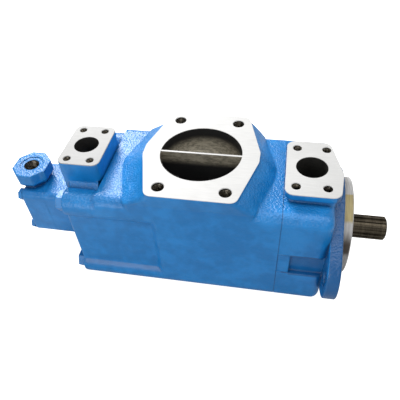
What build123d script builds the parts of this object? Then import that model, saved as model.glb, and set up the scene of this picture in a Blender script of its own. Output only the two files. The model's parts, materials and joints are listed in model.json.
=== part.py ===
"""Triple hydraulic vane pump: two large cartridges on one shaft and a small thru-driven pump.

The frame's origin is the centre of the mounting face, on the shaft's axis.
+X points out of the mounting face along the shaft, +Z towards the ports.  Millimetres.
"""
import math
import os
from dataclasses import dataclass

from build123d import *

# ---------------------------------------------------------------- castings
FRONT_BORE = 60.0            # radius of the larger cartridge bore
FLAT_WALL = 9.5              # wall between that bore and the flats
FLAT_RECESS = 7.0            # depth of the flats between the screw bosses
CORE_HALF = FRONT_BORE + FLAT_WALL
CASTING_HALF = CORE_HALF + FLAT_RECESS   # half the height and width of the cast bodies
CORNER_RADIUS = 17.5
SCREW_PITCH_HALF = CASTING_HALF - CORNER_RADIUS   # tie screws stand at plus and minus this
CREASE_RADIUS = 6.0          # where a screw boss runs into a flat

SHAFT_BODY_LENGTH = 72.0
INLET_BODY_LENGTH = 230.0
COVER_BODY_LENGTH = 39.0
REAR_BODY_LENGTH = 51.0
REAR_COVER_LENGTH = 34.0
X_FRONT_JOINT = -SHAFT_BODY_LENGTH
X_COVER_JOINT = X_FRONT_JOINT - INLET_BODY_LENGTH
X_REAR_MOUNT = X_COVER_JOINT - COVER_BODY_LENGTH
X_REAR_JOINT = X_REAR_MOUNT - REAR_BODY_LENGTH
X_END = X_REAR_JOINT - REAR_COVER_LENGTH

OUTLET_CHAMBER_DEPTH = 36.0  # ring-shaped chamber in the shaft-end casting
REAR_CHAMBER_DEPTH = 16.0    # outlet chamber in the rear pump's cover
JOINT_CHAMFER = 0.6          # broken edges where two castings meet
REAR_EDGE = 2.5              # cast rounding round the cover-end casting's rear face

# ---------------------------------------------------------------- rear pump casting
REAR_BORE = 29.0
REAR_WALL_Y = 6.5
REAR_WALL_Z = 9.0
REAR_HALF_Y = REAR_BORE + REAR_WALL_Y
REAR_HALF_Z = REAR_BORE + REAR_WALL_Z
REAR_CORNER = 8.0
REAR_SCREW_EDGE_Y = 8.5      # from a screw's centre to the casting's side
REAR_SCREW_EDGE_Z = 9.0
REAR_SCREW_Y = REAR_HALF_Y - REAR_SCREW_EDGE_Y
REAR_SCREW_Z = REAR_HALF_Z - REAR_SCREW_EDGE_Z
REGISTER_RADIUS = 27.0
REGISTER_HEIGHT = 4.0

# ---------------------------------------------------------------- mounting flange
PILOT_RADIUS = 63.5          # standard pilot of 127 mm
PILOT_HEIGHT = 12.7
FLANGE_THICKNESS = 15.0
FLANGE_RADIUS = CASTING_HALF
FLANGE_BOLT_HALF = 90.5
FLANGE_BOLT_RADIUS = 8.75
LOBE_RADIUS = 42.0
LOBE_INSET = 22.5            # from a bolt's centre inwards to its lobe's centre
LOBE_CENTRE = FLANGE_BOLT_HALF - LOBE_INSET
FLANGE_EDGE = 1.5            # rounding of the flange's rim
POCKET_HALF_HEIGHT = 18.0
POCKET_LENGTH = 42.0
POCKET_DEPTH = 7.5
RELIEF_DEPTH = 2.0           # shallow lead-in between the joint and the pocket
SHOULDER_RADIUS = 11.0       # rounding of the block's end behind the flange

# ---------------------------------------------------------------- ports
INLET_SETBACK = 104.0        # from the front joint to the middle of the inlet
INLET_X = X_FRONT_JOINT - INLET_SETBACK
INLET_RISE = 28.4            # height of the port faces over the cast bodies
INLET_FACE_Z = CASTING_HALF + INLET_RISE
INLET_BORE_RADIUS = 50.8
INLET_BOLT_X = 77.8
INLET_BOLT_Y = 130.2
INLET_TAP_RADIUS = 7.0
INLET_TAP_DEPTH = 27.0
INLET_PAD_HALF_X = 72.0
INLET_PAD_END_X = 52.0
INLET_PAD_FLAT_Y = 9.0
INLET_PAD_HALF_Y = 81.0
INLET_PAD_CORNER = 10.0
DECK_RISE = 5.0
DECK_Z = CASTING_HALF + DECK_RISE   # top of the castings beside the inlet neck
DECK_EDGE = 14.0             # rounding of the castings' upper edges
DECK_GAP = 1.0               # room between the deck and the cover-end outlet block
NECK_REAR_LAND = 23.0        # deck between the neck's foot and the cover joint
NECK_FRONT_LAND = 11.0       # and between the foot and the front joint
NECK_FLARE_REAR = INLET_X - INLET_PAD_HALF_X - X_COVER_JOINT - NECK_REAR_LAND
NECK_FLARE_FRONT = X_FRONT_JOINT - NECK_FRONT_LAND - INLET_X - INLET_PAD_HALF_X
NECK_LIP = 3.0
APRON_Z = 58.0
STEP_SETBACK = 55.0          # from the inlet's middle to where the casting steps down to its flats
STEP_X = INLET_X - STEP_SETBACK
STEP_LENGTH = 9.0
WEB_THICKNESS = 2.6
WEB_ROOT_THICKNESS = 13.0
WEB_DROP = 0.5
BORE_DEPTH = 15.0
BOWL_FLOOR_Z = 67.0
THROAT_MARGIN = 14.0         # from the cartridges' hub bore to the throat's side
BOWL_OVERLAP = 6.0

FRONT_PORT_X = -41.4
FRONT_PORT_RISE = 19.3
FRONT_PORT_Z = CASTING_HALF + FRONT_PORT_RISE
FRONT_PORT_RADIUS = 19.05
FRONT_PORT_BOLT_X = 35.7
FRONT_PORT_BOLT_Y = 69.9
FRONT_TAP_RADIUS = 5.1
FRONT_TAP_DEPTH = 24.0
FRONT_PAD_THICKNESS = 9.0
FRONT_PAD_CORNER = 11.0
FRONT_PAD_NEAR_Y = -50.0     # the pad's long sides
FRONT_PAD_FAR_Y = 49.0
FRONT_PAD_NEAR_X = -9.0      # its slanted end: corner, tip and far corner
FRONT_PAD_TIP_X = -4.5
FRONT_PAD_TIP_Y = -8.0
FRONT_PAD_FAR_X = -19.0
FRONT_NECK_INSET = 4.0
PAD_CHAMFER = 0.5            # broken upper edge of a machined pad
PAD_ROUNDING = 1.5           # cast lower edge of a pad
NECK_FILLET = 2.0            # where the front neck stands on the deck

COVER_PORT_SETBACK = 23.3
COVER_PORT_X = X_COVER_JOINT - COVER_PORT_SETBACK
COVER_PORT_RISE = 28.3
COVER_PORT_Z = CASTING_HALF + COVER_PORT_RISE
COVER_PORT_RADIUS = 15.9
COVER_PORT_BOLT_X = 30.2
COVER_PORT_BOLT_Y = 58.7
COVER_PORT_FLOOR = CASTING_HALF - 14.0
DROP_REACH = 12.0            # how far the passage under the port reaches into the chamber
DROP_OVERLAP = 6.0           # and into the port
COVER_TAP_RADIUS = 4.25
COVER_TAP_DEPTH = 21.0
COVER_PAD_REAR = 26.7        # from the port's centre to the pad's rear edge
COVER_PAD_FRONT = 28.3
COVER_PAD_HALF_Y = 39.5
COVER_PAD_CORNER = 10.0
COVER_BLOCK_FOOT = 5.5
COVER_UNDERCUT = 2.0         # room between the pad's overhang and the inlet casting
COVER_OVERHANG_Z = 54.0

REAR_PORT_SETBACK = 25.0
REAR_PORT_X = X_REAR_JOINT - REAR_PORT_SETBACK
REAR_PORT_RISE = 23.8
REAR_PORT_Z = REAR_HALF_Z + REAR_PORT_RISE
REAR_PORT_RADIUS = 10.25
REAR_PORT_FLOOR = REAR_HALF_Z
REAR_PASSAGE_RADIUS = 6.5
REAR_SPOT_RADIUS = 16.0
REAR_SPOT_DEPTH = 1.0
REAR_BOSS_X = 47.0
REAR_BOSS_Y = 51.0
REAR_BOSS_CHAMFER = 14.0
REAR_BOSS_RIM_Z = REAR_HALF_Z + 8.0
REAR_BOSS_FOOT_Z = REAR_HALF_Z - 2.0
REAR_INLET_RADIUS = 12.4
REAR_INLET_BOSS = 20.0
REAR_INLET_STAND = 8.0
REAR_INLET_FLOOR = REAR_BORE + 2.0   # where the inlet's thread ends, outside the cartridge bore
REAR_INLET_PASSAGE = 9.0     # radius of the passage from there into the bore
REAR_INLET_SETBACK = 2.0     # from the mounting face to the inlet's boss
REAR_INLET_OVERLAP = 4.0     # how far the passage reaches into the cartridge bore

# ---------------------------------------------------------------- shaft line
SPLINE_TEETH = 14
SPLINE_TIP = 15.61
SPLINE_ROOT = 13.3
SHAFT_END = 63.6
CENTRE_RADIUS = 3.5          # mouth of the 60 degree centre hole in the shaft's end
SEAL_JOURNAL = 17.5
BEARING_BORE = 20.0
BEARING_RADIUS = 40.0
BEARING_WIDTH = 18.0
BEARING_SEAT_X = -9.0
BALL_RADIUS = 6.0
BALL_COUNT = 9
BALL_CLEARANCE = 0.08
RACE_SHOULDER = 4.0
CAGE_THICKNESS = 3.2
CAGE_WIDTH = 14.0
SHOULDER_WIDTH = 5.0
SHOULDER_STEP = 3.0
SNAP_RING_WIDTH = 2.2
SNAP_RING_GAP = 12.0         # opening of the ring
SEAL_RADIUS = 27.5
SEAL_WIDTH = 10.0
SHAFT_CORE = 16.0
ROTOR_SPLINE_TIP = 18.4
ROTOR_SPLINE_TEETH = 16
JOURNAL_RADIUS = 15.0
BUSH_WALL = 4.5
BUSH_LENGTH = 20.0
TAIL_SPLINE_TIP = 10.0
TAIL_SPLINE_ROOT = 8.4
TAIL_TEETH = 12
COUPLING_RADIUS = 15.5
COUPLING_LENGTH = 26.0
REAR_SHAFT_RADIUS = 7.8
REAR_BUSH_LENGTH = 12.0

# ---------------------------------------------------------------- fits
SLIP = 0.1                   # a part that slides into its bore by hand
RUN = 0.05                   # a journal in its bush, a vane in its slot
CLEAR = 0.4                  # pieces that pass without touching
SPLINE_PLAY = 0.06
HUB_CLEARANCE = 1.0

# ---------------------------------------------------------------- fasteners and seals
TIE_SCREW_RADIUS = 8.0
TIE_HOLE_PLAY = 0.35
TIE_THREAD_DEPTH = 42.0
TIE_HEAD_FLATS = 24.0
TIE_HEAD_HEIGHT = 10.0
REAR_SCREW_RADIUS = 5.0
REAR_SCREW_DEPTH = 13.0
REAR_HEAD_FLATS = 15.0
REAR_HEAD_HEIGHT = 6.0
HEAD_CHAMFER = 0.9
O_RING_SECTION = 1.75
O_RING_LAND = 6.0            # from a bore's edge to the middle of its O-ring
GROOVE_PLAY = 0.4
PASSAGE_WALL = 2.5           # least wall between an O-ring groove and a passage
CHAMFER = 1.0


@dataclass
class Cartridge:
    """One pumping set: rotor, vanes and cam ring between side plates and support plates.

    The stack starts at `face`, the joint of the castings, and runs towards `way` along X.
    """

    name: str
    face: float
    way: int
    radius: float
    pressure_plate: float
    side_plate: float
    ring_width: float
    inlet_plate: float
    ring_wall: float
    rise: float
    vane_count: int
    vane_thickness: float
    slot_floor: float
    hub: float

    @property
    def depth(self):
        """Depth of the stack, and of its bore in the casting."""
        return self.pressure_plate + 2 * self.side_plate + self.ring_width + self.inlet_plate

    @property
    def end(self):
        """X of the stack's inner end, on the casting's shoulder."""
        return self.face + self.way * self.depth

    @property
    def rotor_radius(self):
        """Radius of the rotor, which leaves the cam ring its least wall."""
        return self.radius - self.ring_wall - self.rise - CLEAR

    @property
    def vane_height(self):
        """Height of a vane, from its tip down to the room over its slot's floor."""
        return self.rotor_radius + VANE_TIP_REST - VANE_RETRACT - self.slot_floor

    @property
    def ring_minor(self):
        """Small half axis of the cam ring's bore."""
        return self.rotor_radius + CLEAR

    @property
    def ring_major(self):
        """Large half axis of the cam ring's bore."""
        return self.ring_minor + self.rise

    def span(self, start, width):
        """Low and high X of a layer that starts at a depth and has a width."""
        ends = (self.face + self.way * start, self.face + self.way * (start + width))
        return min(ends), max(ends)

    @property
    def ring_start(self):
        """Depth at which the cam ring starts."""
        return self.pressure_plate + self.side_plate


FRONT = Cartridge(
    name="front", face=X_FRONT_JOINT, way=-1, radius=FRONT_BORE,
    pressure_plate=13.0, side_plate=3.0, ring_width=54.0, inlet_plate=22.0,
    ring_wall=9.6, rise=6.0, vane_count=10, vane_thickness=4.8, slot_floor=27.65, hub=30.0)
COVER = Cartridge(
    name="cover", face=X_COVER_JOINT, way=1, radius=52.0,
    pressure_plate=25.0, side_plate=3.0, ring_width=44.0, inlet_plate=21.0,
    ring_wall=9.6, rise=5.0, vane_count=10, vane_thickness=4.0, slot_floor=22.65, hub=26.0)
REAR = Cartridge(
    name="rear", face=X_REAR_JOINT, way=1, radius=REAR_BORE,
    pressure_plate=5.0, side_plate=2.0, ring_width=24.0, inlet_plate=5.0,
    ring_wall=4.6, rise=3.0, vane_count=12, vane_thickness=1.8, slot_floor=12.65, hub=12.0)

VANE_TIP_REST = 0.15         # the tip's height over the rotor at rest
VANE_RETRACT = 1.5           # room under a vane at rest
VANE_TIP_CHAMFER = 0.6
SLOT_ROOT_EXTRA = 0.6
PORT_WIDTH = 7.0
PORT_ARC = 46.0
PIN_RADIUS = 2.5
PIN_CLEARANCE = 0.05


# ---------------------------------------------------------------- helpers
def prism(sketch, low, high):
    """Carry a sketch, drawn with Y to its right and Z up, along X from low to high."""
    return extrude(Plane.YZ.offset(low) * sketch, high - low)


def rod(radius, low, high):
    """Round bar on the shaft's axis."""
    return prism(Circle(radius), low, high)


def tube(outer, inner, low, high):
    """Round tube on the shaft's axis."""
    return prism(Circle(outer) - Circle(inner), low, high)


def column(sketch, low, high):
    """Carry a sketch, drawn in X and Y, upwards from low to high."""
    return extrude(Pos(0, 0, low) * sketch, high - low)


def turned(points):
    """Solid of revolution about the shaft's axis from (x, radius) corners."""
    profile = make_face(Polyline(*points, close=True))
    return revolve(Plane.XZ * profile, Axis.X)


def o_ring(radius, x, side):
    """O-ring of the joint face at x, seated in a groove on the given side of the face."""
    centre = x + side * (O_RING_SECTION + RUN / 2)
    section = Pos(centre, radius) * Circle(O_RING_SECTION)
    return revolve(Plane.XZ * section, Axis.X)


def o_ring_groove(radius, x, side):
    """Square groove for that O-ring."""
    half = O_RING_SECTION + GROOVE_PLAY
    ends = sorted((x, x + side * (2 * O_RING_SECTION + RUN)))
    return tube(radius + half, radius - half, *ends)


def spline_outline(teeth, tip, root, play=0.0):
    """Straight-flanked spline: each tooth is as wide as its gap at mid height."""
    pitch = 2 * math.pi / teeth
    tooth_tip = 0.19 * pitch
    tooth_root = 0.30 * pitch
    section = Circle(root + play)
    outer = tip + play
    inner = root - 1.0
    grow = play / root
    half_tip = tooth_tip + grow
    half_root = tooth_root + grow
    edge = [
        (inner * math.cos(half_root), -inner * math.sin(half_root)),
        (outer * math.cos(half_tip), -outer * math.sin(half_tip)),
        (outer * math.cos(half_tip), outer * math.sin(half_tip)),
        (inner * math.cos(half_root), inner * math.sin(half_root)),
    ]
    tooth = make_face(Polyline(*edge, close=True))
    teeth_all = [Rot(0, 0, math.degrees(pitch * number)) * tooth for number in range(teeth)]
    return section + teeth_all


def four(x_step, y_step, x=0.0, y=0.0):
    """The four corners of a rectangle of holes."""
    return [Pos(x + sx * x_step / 2, y + sy * y_step / 2) for sx in (-1, 1) for sy in (-1, 1)]


def casting_outline():
    """Square of the cast bodies: flats between four round screw bosses."""
    bosses = [place * Circle(CORNER_RADIUS) for place in four(2 * SCREW_PITCH_HALF, 2 * SCREW_PITCH_HALF)]
    outline = Rectangle(2 * CORE_HALF, 2 * CORE_HALF) + bosses
    return fillet(outline.vertices(), CREASE_RADIUS)


def deck_outline():
    """Upper part of the cast section: its top edges are rounded tighter than the bosses."""
    rounds = []
    for side in (-1, 1):
        top = Pos(side * (CASTING_HALF - DECK_EDGE), DECK_Z - DECK_EDGE) * Circle(DECK_EDGE)
        boss = Pos(side * SCREW_PITCH_HALF, SCREW_PITCH_HALF) * Circle(CORNER_RADIUS)
        rounds += [*top.edges(), *boss.edges()]
    return make_hull(rounds)


def block_outline():
    """Full cast section: flush sides, round lower corners and the deck on top."""
    return RectangleRounded(2 * CASTING_HALF, 2 * CASTING_HALF, CORNER_RADIUS) + deck_outline()


def tie_holes(radius, low, high):
    """Holes for the four tie screws."""
    circles = [place * Circle(radius) for place in four(2 * SCREW_PITCH_HALF, 2 * SCREW_PITCH_HALF)]
    return prism(Sketch() + circles, low, high)


def tapped(radius, depth, face_z, places):
    """Tapped holes down from a port face, with their countersinks."""
    holes = column(Sketch() + [place * Circle(radius) for place in places], face_z - depth, face_z)
    cones = [
        place * Pos(0, 0, face_z - CHAMFER / 2) * Cone(radius, radius + CHAMFER, CHAMFER)
        for place in places
    ]
    return holes + cones


def ports(cart, low, high, first_angle):
    """The two kidney ports of a cartridge's plate, opposite each other."""
    middle = cart.rotor_radius - PORT_WIDTH / 8
    kidneys = Sketch()
    for turn in (0, 180):
        arc = CenterArc((0, 0), middle, first_angle + turn - PORT_ARC / 2, PORT_ARC)
        kidneys += SlotArc(arc, PORT_WIDTH * cart.radius / 60)
    return prism(kidneys, low, high)


# ---------------------------------------------------------------- castings
def shaft_end_body():
    """Front casting: mounting flange, pilot, bearing housing and the front outlet."""
    block = prism(block_outline(), X_FRONT_JOINT, -FLANGE_THICKNESS + 2)
    block = chamfer(block.edges().group_by(Axis.X)[0], JOINT_CHAMFER)
    block = fillet(block.edges().group_by(Axis.X)[-1], SHOULDER_RADIUS)
    lobes = make_hull(Circle(FLANGE_RADIUS).edges()
                      + (Pos(LOBE_CENTRE, 0) * Circle(LOBE_RADIUS)).edges()
                      + (Pos(-LOBE_CENTRE, 0) * Circle(LOBE_RADIUS)).edges())
    flange = prism(lobes, -FLANGE_THICKNESS, 0)
    flange = fillet(flange.edges().group_by(Axis.X)[0], FLANGE_EDGE)
    flange = chamfer(flange.edges().group_by(Axis.X)[-1], FLANGE_EDGE / 2)
    pilot = rod(PILOT_RADIUS, -FLANGE_THICKNESS, PILOT_HEIGHT)
    pilot = chamfer(pilot.edges().group_by(Axis.X)[-1], CHAMFER)
    body = block + flange + pilot
    # front outlet: a pad that overhangs its neck
    outline = [
        (X_FRONT_JOINT, FRONT_PAD_NEAR_Y),
        (FRONT_PAD_NEAR_X, FRONT_PAD_NEAR_Y),
        (FRONT_PAD_TIP_X, FRONT_PAD_TIP_Y),
        (FRONT_PAD_FAR_X, FRONT_PAD_FAR_Y),
        (X_FRONT_JOINT, FRONT_PAD_FAR_Y),
    ]
    pad = fillet(make_face(Polyline(*outline, close=True)).vertices(), FRONT_PAD_CORNER)
    neck = offset(pad, -FRONT_NECK_INSET)
    plate = column(pad, FRONT_PORT_Z - FRONT_PAD_THICKNESS, FRONT_PORT_Z)
    plate = chamfer(plate.edges().group_by(Axis.Z)[-1], PAD_CHAMFER)
    plate = fillet(plate.edges().group_by(Axis.Z)[0], PAD_ROUNDING)
    body += plate
    body += column(neck, CORE_HALF, FRONT_PORT_Z - PAD_ROUNDING)
    foot = body.edges().filter_by_position(Axis.Z, DECK_Z - RUN, DECK_Z + RUN)
    foot = foot.filter_by_position(Axis.X, X_FRONT_JOINT + FRONT_NECK_INSET - RUN, 0)
    foot = foot.filter_by_position(Axis.Y, FRONT_PAD_NEAR_Y, FRONT_PAD_FAR_Y)
    body = fillet(foot, NECK_FILLET)
    # pockets that give room to the mounting nuts
    pocket_high = -FLANGE_THICKNESS
    pocket_low = pocket_high - POCKET_LENGTH
    pocket = Pos((pocket_low + pocket_high) / 2, 0, 0) * Box(
        POCKET_LENGTH, 2 * POCKET_DEPTH, 2 * POCKET_HALF_HEIGHT)
    relief = Pos((X_FRONT_JOINT + pocket_low) / 2, 0, 0) * Box(
        pocket_low - X_FRONT_JOINT, 2 * RELIEF_DEPTH, 2 * POCKET_HALF_HEIGHT)
    for side in (-1, 1):
        body -= Pos(0, side * CASTING_HALF, 0) * pocket
        body -= Pos(0, side * CASTING_HALF, 0) * relief
        body -= prism(Pos(side * FLANGE_BOLT_HALF, 0) * Circle(FLANGE_BOLT_RADIUS), -FLANGE_THICKNESS, 0)
    # inside: seal and bearing seats, hub and the ring-shaped outlet chamber
    hub_bore = rod(BEARING_RADIUS, X_FRONT_JOINT, BEARING_SEAT_X)
    snap_x = BEARING_SEAT_X - BEARING_WIDTH - SNAP_RING_WIDTH
    groove = rod(BEARING_RADIUS + 1.6, snap_x - RUN, snap_x + SNAP_RING_WIDTH)
    seal_bore = rod(SEAL_RADIUS, BEARING_SEAT_X, BEARING_SEAT_X + 2 + SEAL_WIDTH)
    throat = rod(SEAL_JOURNAL + 2 * HUB_CLEARANCE, BEARING_SEAT_X, PILOT_HEIGHT)
    chamber = tube(FRONT.radius - 4, BEARING_RADIUS + 5, X_FRONT_JOINT, X_FRONT_JOINT + OUTLET_CHAMBER_DEPTH)
    body -= [hub_bore, groove, seal_bore, throat, chamber]
    body -= column(Pos(FRONT_PORT_X, 0) * Circle(FRONT_PORT_RADIUS), BEARING_RADIUS + 8, FRONT_PORT_Z)
    places = four(FRONT_PORT_BOLT_X, FRONT_PORT_BOLT_Y, FRONT_PORT_X)
    body -= tapped(FRONT_TAP_RADIUS, FRONT_TAP_DEPTH, FRONT_PORT_Z, places)
    body -= tie_holes(TIE_SCREW_RADIUS + RUN, X_FRONT_JOINT, X_FRONT_JOINT + TIE_THREAD_DEPTH + 3)
    body -= o_ring_groove(FRONT.radius + O_RING_LAND, X_FRONT_JOINT, 1)
    return body


def inlet_pad_outline(grow_rear=0.0, grow_front=0.0, half_y=INLET_PAD_HALF_Y):
    """Six-sided outline of the inlet pad, widened towards the rear and the front."""
    corners = [(INLET_PAD_END_X, -half_y), (INLET_PAD_HALF_X, -INLET_PAD_FLAT_Y),
               (INLET_PAD_HALF_X, INLET_PAD_FLAT_Y), (INLET_PAD_END_X, half_y)]
    right = [(x + grow_front, y) for x, y in corners]
    left = [(-x - grow_rear, y) for x, y in reversed(corners)]
    outline = make_face(Polyline(*right, *left, close=True))
    return Pos(INLET_X, 0) * fillet(outline.vertices(), INLET_PAD_CORNER)


def inlet_neck():
    """Neck of the inlet: it spreads from the pad down to the deck, further on the rear side."""
    top = INLET_FACE_Z - NECK_LIP
    steps = 3
    sections = []
    for step in range(steps + 1):
        share = step / steps
        height = top - (top - DECK_Z) * share
        half_y = INLET_PAD_HALF_Y - (INLET_PAD_HALF_Y - CASTING_HALF) * share
        rear = NECK_FLARE_REAR * share ** 1.5
        front = NECK_FLARE_FRONT * share ** 0.9
        sections.append(Pos(0, 0, height) * inlet_pad_outline(rear, front, half_y))
    flare = loft(sections)
    apron = column(inlet_pad_outline(NECK_FLARE_REAR, NECK_FLARE_FRONT, CASTING_HALF), APRON_Z, DECK_Z)
    return column(inlet_pad_outline(), top, INLET_FACE_Z) + flare + apron


def inlet_cavity():
    """Inlet passage: a bore, then a bowl that falls to the space between the cartridges."""
    bore_end = INLET_FACE_Z - BORE_DEPTH
    bowl_depth = bore_end - BOWL_FLOOR_Z
    throat_half = (FRONT.end - COVER.end) / 2
    rim = (INLET_BORE_RADIUS, bore_end)
    middle = (INLET_BORE_RADIUS * 0.87, bore_end - bowl_depth * 0.62)
    foot = (throat_half, BOWL_FLOOR_Z)
    curve = ThreePointArc(rim, middle, foot)
    sides = Polyline(foot, (0, BOWL_FLOOR_Z), (0, INLET_FACE_Z), (INLET_BORE_RADIUS, INLET_FACE_Z), rim)
    bowl = revolve(Plane.XZ * make_face(curve + sides), Axis.Z)
    bowl = Pos(INLET_X, 0, 0) * bowl
    middle_x = (FRONT.end + COVER.end) / 2
    slot = column(Pos(middle_x, 0) * Rectangle(2 * throat_half, 2 * (COVER.hub + THROAT_MARGIN)), 0, BOWL_FLOOR_Z + BOWL_OVERLAP)
    chamber = rod(COVER.radius - 4, COVER.end, FRONT.end)
    return bowl + slot + chamber


def inlet_web():
    """Web across the inlet bore, parallel to the shaft and thicker towards its root."""
    top = INLET_FACE_Z - WEB_DROP
    root = COVER.radius - 8
    half = WEB_THICKNESS / 2
    root_half = WEB_ROOT_THICKNESS / 2
    outline = make_face(Polyline((-half, top), (half, top), (root_half, root), (-root_half, root), close=True))
    length = INLET_BORE_RADIUS + 2
    return prism(outline, INLET_X - length, INLET_X + length)


def step_ramp():
    """Ramp from the recessed flats up to the flush sides."""
    low_x = STEP_X
    high_x = STEP_X + STEP_LENGTH
    outline = make_face(Polyline((low_x, CORE_HALF), (high_x, CASTING_HALF), (high_x, 0), (low_x, 0),
                                 close=True))
    side = extrude(Plane.XY * outline, SCREW_PITCH_HALF, both=True)
    return [Rot(turn, 0, 0) * side for turn in (0, 180, 270)]


def inlet_body():
    """Middle casting: both cartridge bores and the common inlet."""
    body = prism(casting_outline(), X_COVER_JOINT, X_FRONT_JOINT)
    body += prism(deck_outline(), COVER_PORT_X + COVER_PAD_FRONT + DECK_GAP, X_FRONT_JOINT)
    body += prism(Rectangle(2 * CASTING_HALF, 2 * SCREW_PITCH_HALF), STEP_X + STEP_LENGTH, X_FRONT_JOINT)
    body += prism(Rectangle(2 * SCREW_PITCH_HALF, 2 * CASTING_HALF), STEP_X + STEP_LENGTH, X_FRONT_JOINT)
    body += step_ramp()
    body += inlet_neck()
    body &= prism(Rectangle(4 * CASTING_HALF, 4 * CASTING_HALF), X_COVER_JOINT, X_FRONT_JOINT)
    ends = body.edges().group_by(Axis.X)
    body = chamfer(ends[0] + ends[-1], JOINT_CHAMFER)
    body -= rod(FRONT.radius, FRONT.end, X_FRONT_JOINT)
    body -= rod(COVER.radius, X_COVER_JOINT, COVER.end)
    body -= inlet_cavity() - inlet_web()
    places = four(INLET_BOLT_X, INLET_BOLT_Y, INLET_X)
    body -= tapped(INLET_TAP_RADIUS, INLET_TAP_DEPTH, INLET_FACE_Z, places)
    body -= tie_holes(TIE_SCREW_RADIUS + TIE_HOLE_PLAY, X_COVER_JOINT, X_FRONT_JOINT)
    return body


def cover_end_body():
    """Cover-end casting: the second outlet, the shaft's bush and the seat of the rear pump."""
    body = prism(casting_outline(), X_REAR_MOUNT, X_COVER_JOINT)
    body = chamfer(body.edges().group_by(Axis.X)[-1], JOINT_CHAMFER)
    body = fillet(body.edges().group_by(Axis.X)[0], REAR_EDGE)
    rear = COVER_PORT_X - COVER_PAD_REAR
    front = COVER_PORT_X + COVER_PAD_FRONT
    pad_centre = (rear + front) / 2
    pad = Pos(pad_centre, 0) * RectangleRounded(front - rear, 2 * COVER_PAD_HALF_Y, COVER_PAD_CORNER)
    block = Pos((rear + X_COVER_JOINT) / 2, 0) * Rectangle(X_COVER_JOINT - rear, 2 * COVER_PAD_HALF_Y)
    block = fillet(block.vertices().group_by(Axis.X)[0], COVER_PAD_CORNER)
    undercut = CASTING_HALF + COVER_UNDERCUT
    body += column(block, COVER_OVERHANG_Z, undercut)
    plate = column(pad, undercut, COVER_PORT_Z)
    body += chamfer(plate.edges().group_by(Axis.Z)[-1], PAD_CHAMFER)
    foot = [(COVER_PAD_HALF_Y - 1, undercut - 1), (COVER_PAD_HALF_Y + COVER_BLOCK_FOOT, CORE_HALF - 1)]
    foot += [(-y, z) for y, z in reversed(foot)]
    body += prism(make_face(Polyline(*foot, close=True)), X_REAR_MOUNT, X_COVER_JOINT)
    hub = JOURNAL_RADIUS + BUSH_WALL
    chamber_depth = BUSH_LENGTH + 2
    body -= tube(COVER.radius - 5, hub + 8, X_COVER_JOINT - chamber_depth, X_COVER_JOINT)
    body -= rod(hub, X_COVER_JOINT - BUSH_LENGTH, X_COVER_JOINT)
    body -= rod(COUPLING_RADIUS + 2, X_REAR_MOUNT, X_COVER_JOINT)
    body -= rod(REGISTER_RADIUS + SLIP, X_REAR_MOUNT, X_REAR_MOUNT + REGISTER_HEIGHT + CLEAR)
    body -= column(Pos(COVER_PORT_X, 0) * Circle(COVER_PORT_RADIUS), COVER_PORT_FLOOR, COVER_PORT_Z)
    drop_high = X_COVER_JOINT - 2 * O_RING_SECTION - PASSAGE_WALL
    drop_radius = (drop_high - (X_COVER_JOINT - chamber_depth)) / 2 - CHAMFER
    drop = Pos(drop_high - drop_radius, 0) * Circle(drop_radius)
    body -= column(drop, COVER.radius - DROP_REACH, COVER_PORT_FLOOR + DROP_OVERLAP)
    places = four(COVER_PORT_BOLT_X, COVER_PORT_BOLT_Y, COVER_PORT_X)
    body -= tapped(COVER_TAP_RADIUS, COVER_TAP_DEPTH, COVER_PORT_Z, places)
    body -= tie_holes(TIE_SCREW_RADIUS + TIE_HOLE_PLAY, X_REAR_MOUNT, X_COVER_JOINT)
    body -= o_ring_groove(COVER.radius + O_RING_LAND, X_COVER_JOINT, -1)
    body -= rear_screw_holes(REAR_SCREW_RADIUS + RUN, X_REAR_MOUNT, X_REAR_MOUNT + REAR_SCREW_DEPTH + 1)
    return body


def rear_screw_places():
    """Places of the rear pump's four screws in the YZ plane."""
    return four(2 * REAR_SCREW_Y, 2 * REAR_SCREW_Z)


def rear_screw_holes(radius, low, high):
    """Holes for the rear pump's four screws."""
    return prism(Sketch() + [place * Circle(radius) for place in rear_screw_places()], low, high)


def rear_pump_body():
    """Small casting between the cover end and its own cover: cartridge bore and inlet."""
    section = RectangleRounded(2 * REAR_HALF_Y, 2 * REAR_HALF_Z, REAR_CORNER)
    body = prism(section, X_REAR_JOINT, X_REAR_MOUNT)
    ends = body.edges().group_by(Axis.X)
    body = chamfer(ends[0] + ends[-1], JOINT_CHAMFER)
    body += rod(REGISTER_RADIUS, X_REAR_MOUNT, X_REAR_MOUNT + REGISTER_HEIGHT)
    inlet_x = X_REAR_MOUNT - REAR_INLET_BOSS - REAR_INLET_SETBACK
    boss = Plane.XZ.offset(-REAR.radius) * Pos(inlet_x, 0) * Circle(REAR_INLET_BOSS)
    body += extrude(boss, -(REAR_HALF_Y + REAR_INLET_STAND - REAR.radius))
    body -= rod(REAR.radius, X_REAR_JOINT, REAR.end)
    body -= rod(COUPLING_RADIUS + 2, REAR.end + 4, X_REAR_MOUNT + REGISTER_HEIGHT)
    body -= rod(REAR_SHAFT_RADIUS + HUB_CLEARANCE, REAR.end, X_REAR_MOUNT)
    inlet = Plane.XZ.offset(-REAR_INLET_FLOOR) * Pos(inlet_x, 0) * Circle(REAR_INLET_RADIUS)
    body -= extrude(inlet, -(REAR_HALF_Y + REAR_INLET_STAND - REAR_INLET_FLOOR))
    passage_low = REAR.radius - REAR_INLET_OVERLAP
    passage = Plane.XZ.offset(-passage_low) * Pos(inlet_x, 0) * Circle(REAR_INLET_PASSAGE)
    body -= extrude(passage, -(REAR_INLET_FLOOR + 1 - passage_low))
    body -= rear_screw_holes(REAR_SCREW_RADIUS + TIE_HOLE_PLAY, X_REAR_JOINT, X_REAR_MOUNT)
    return body


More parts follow.
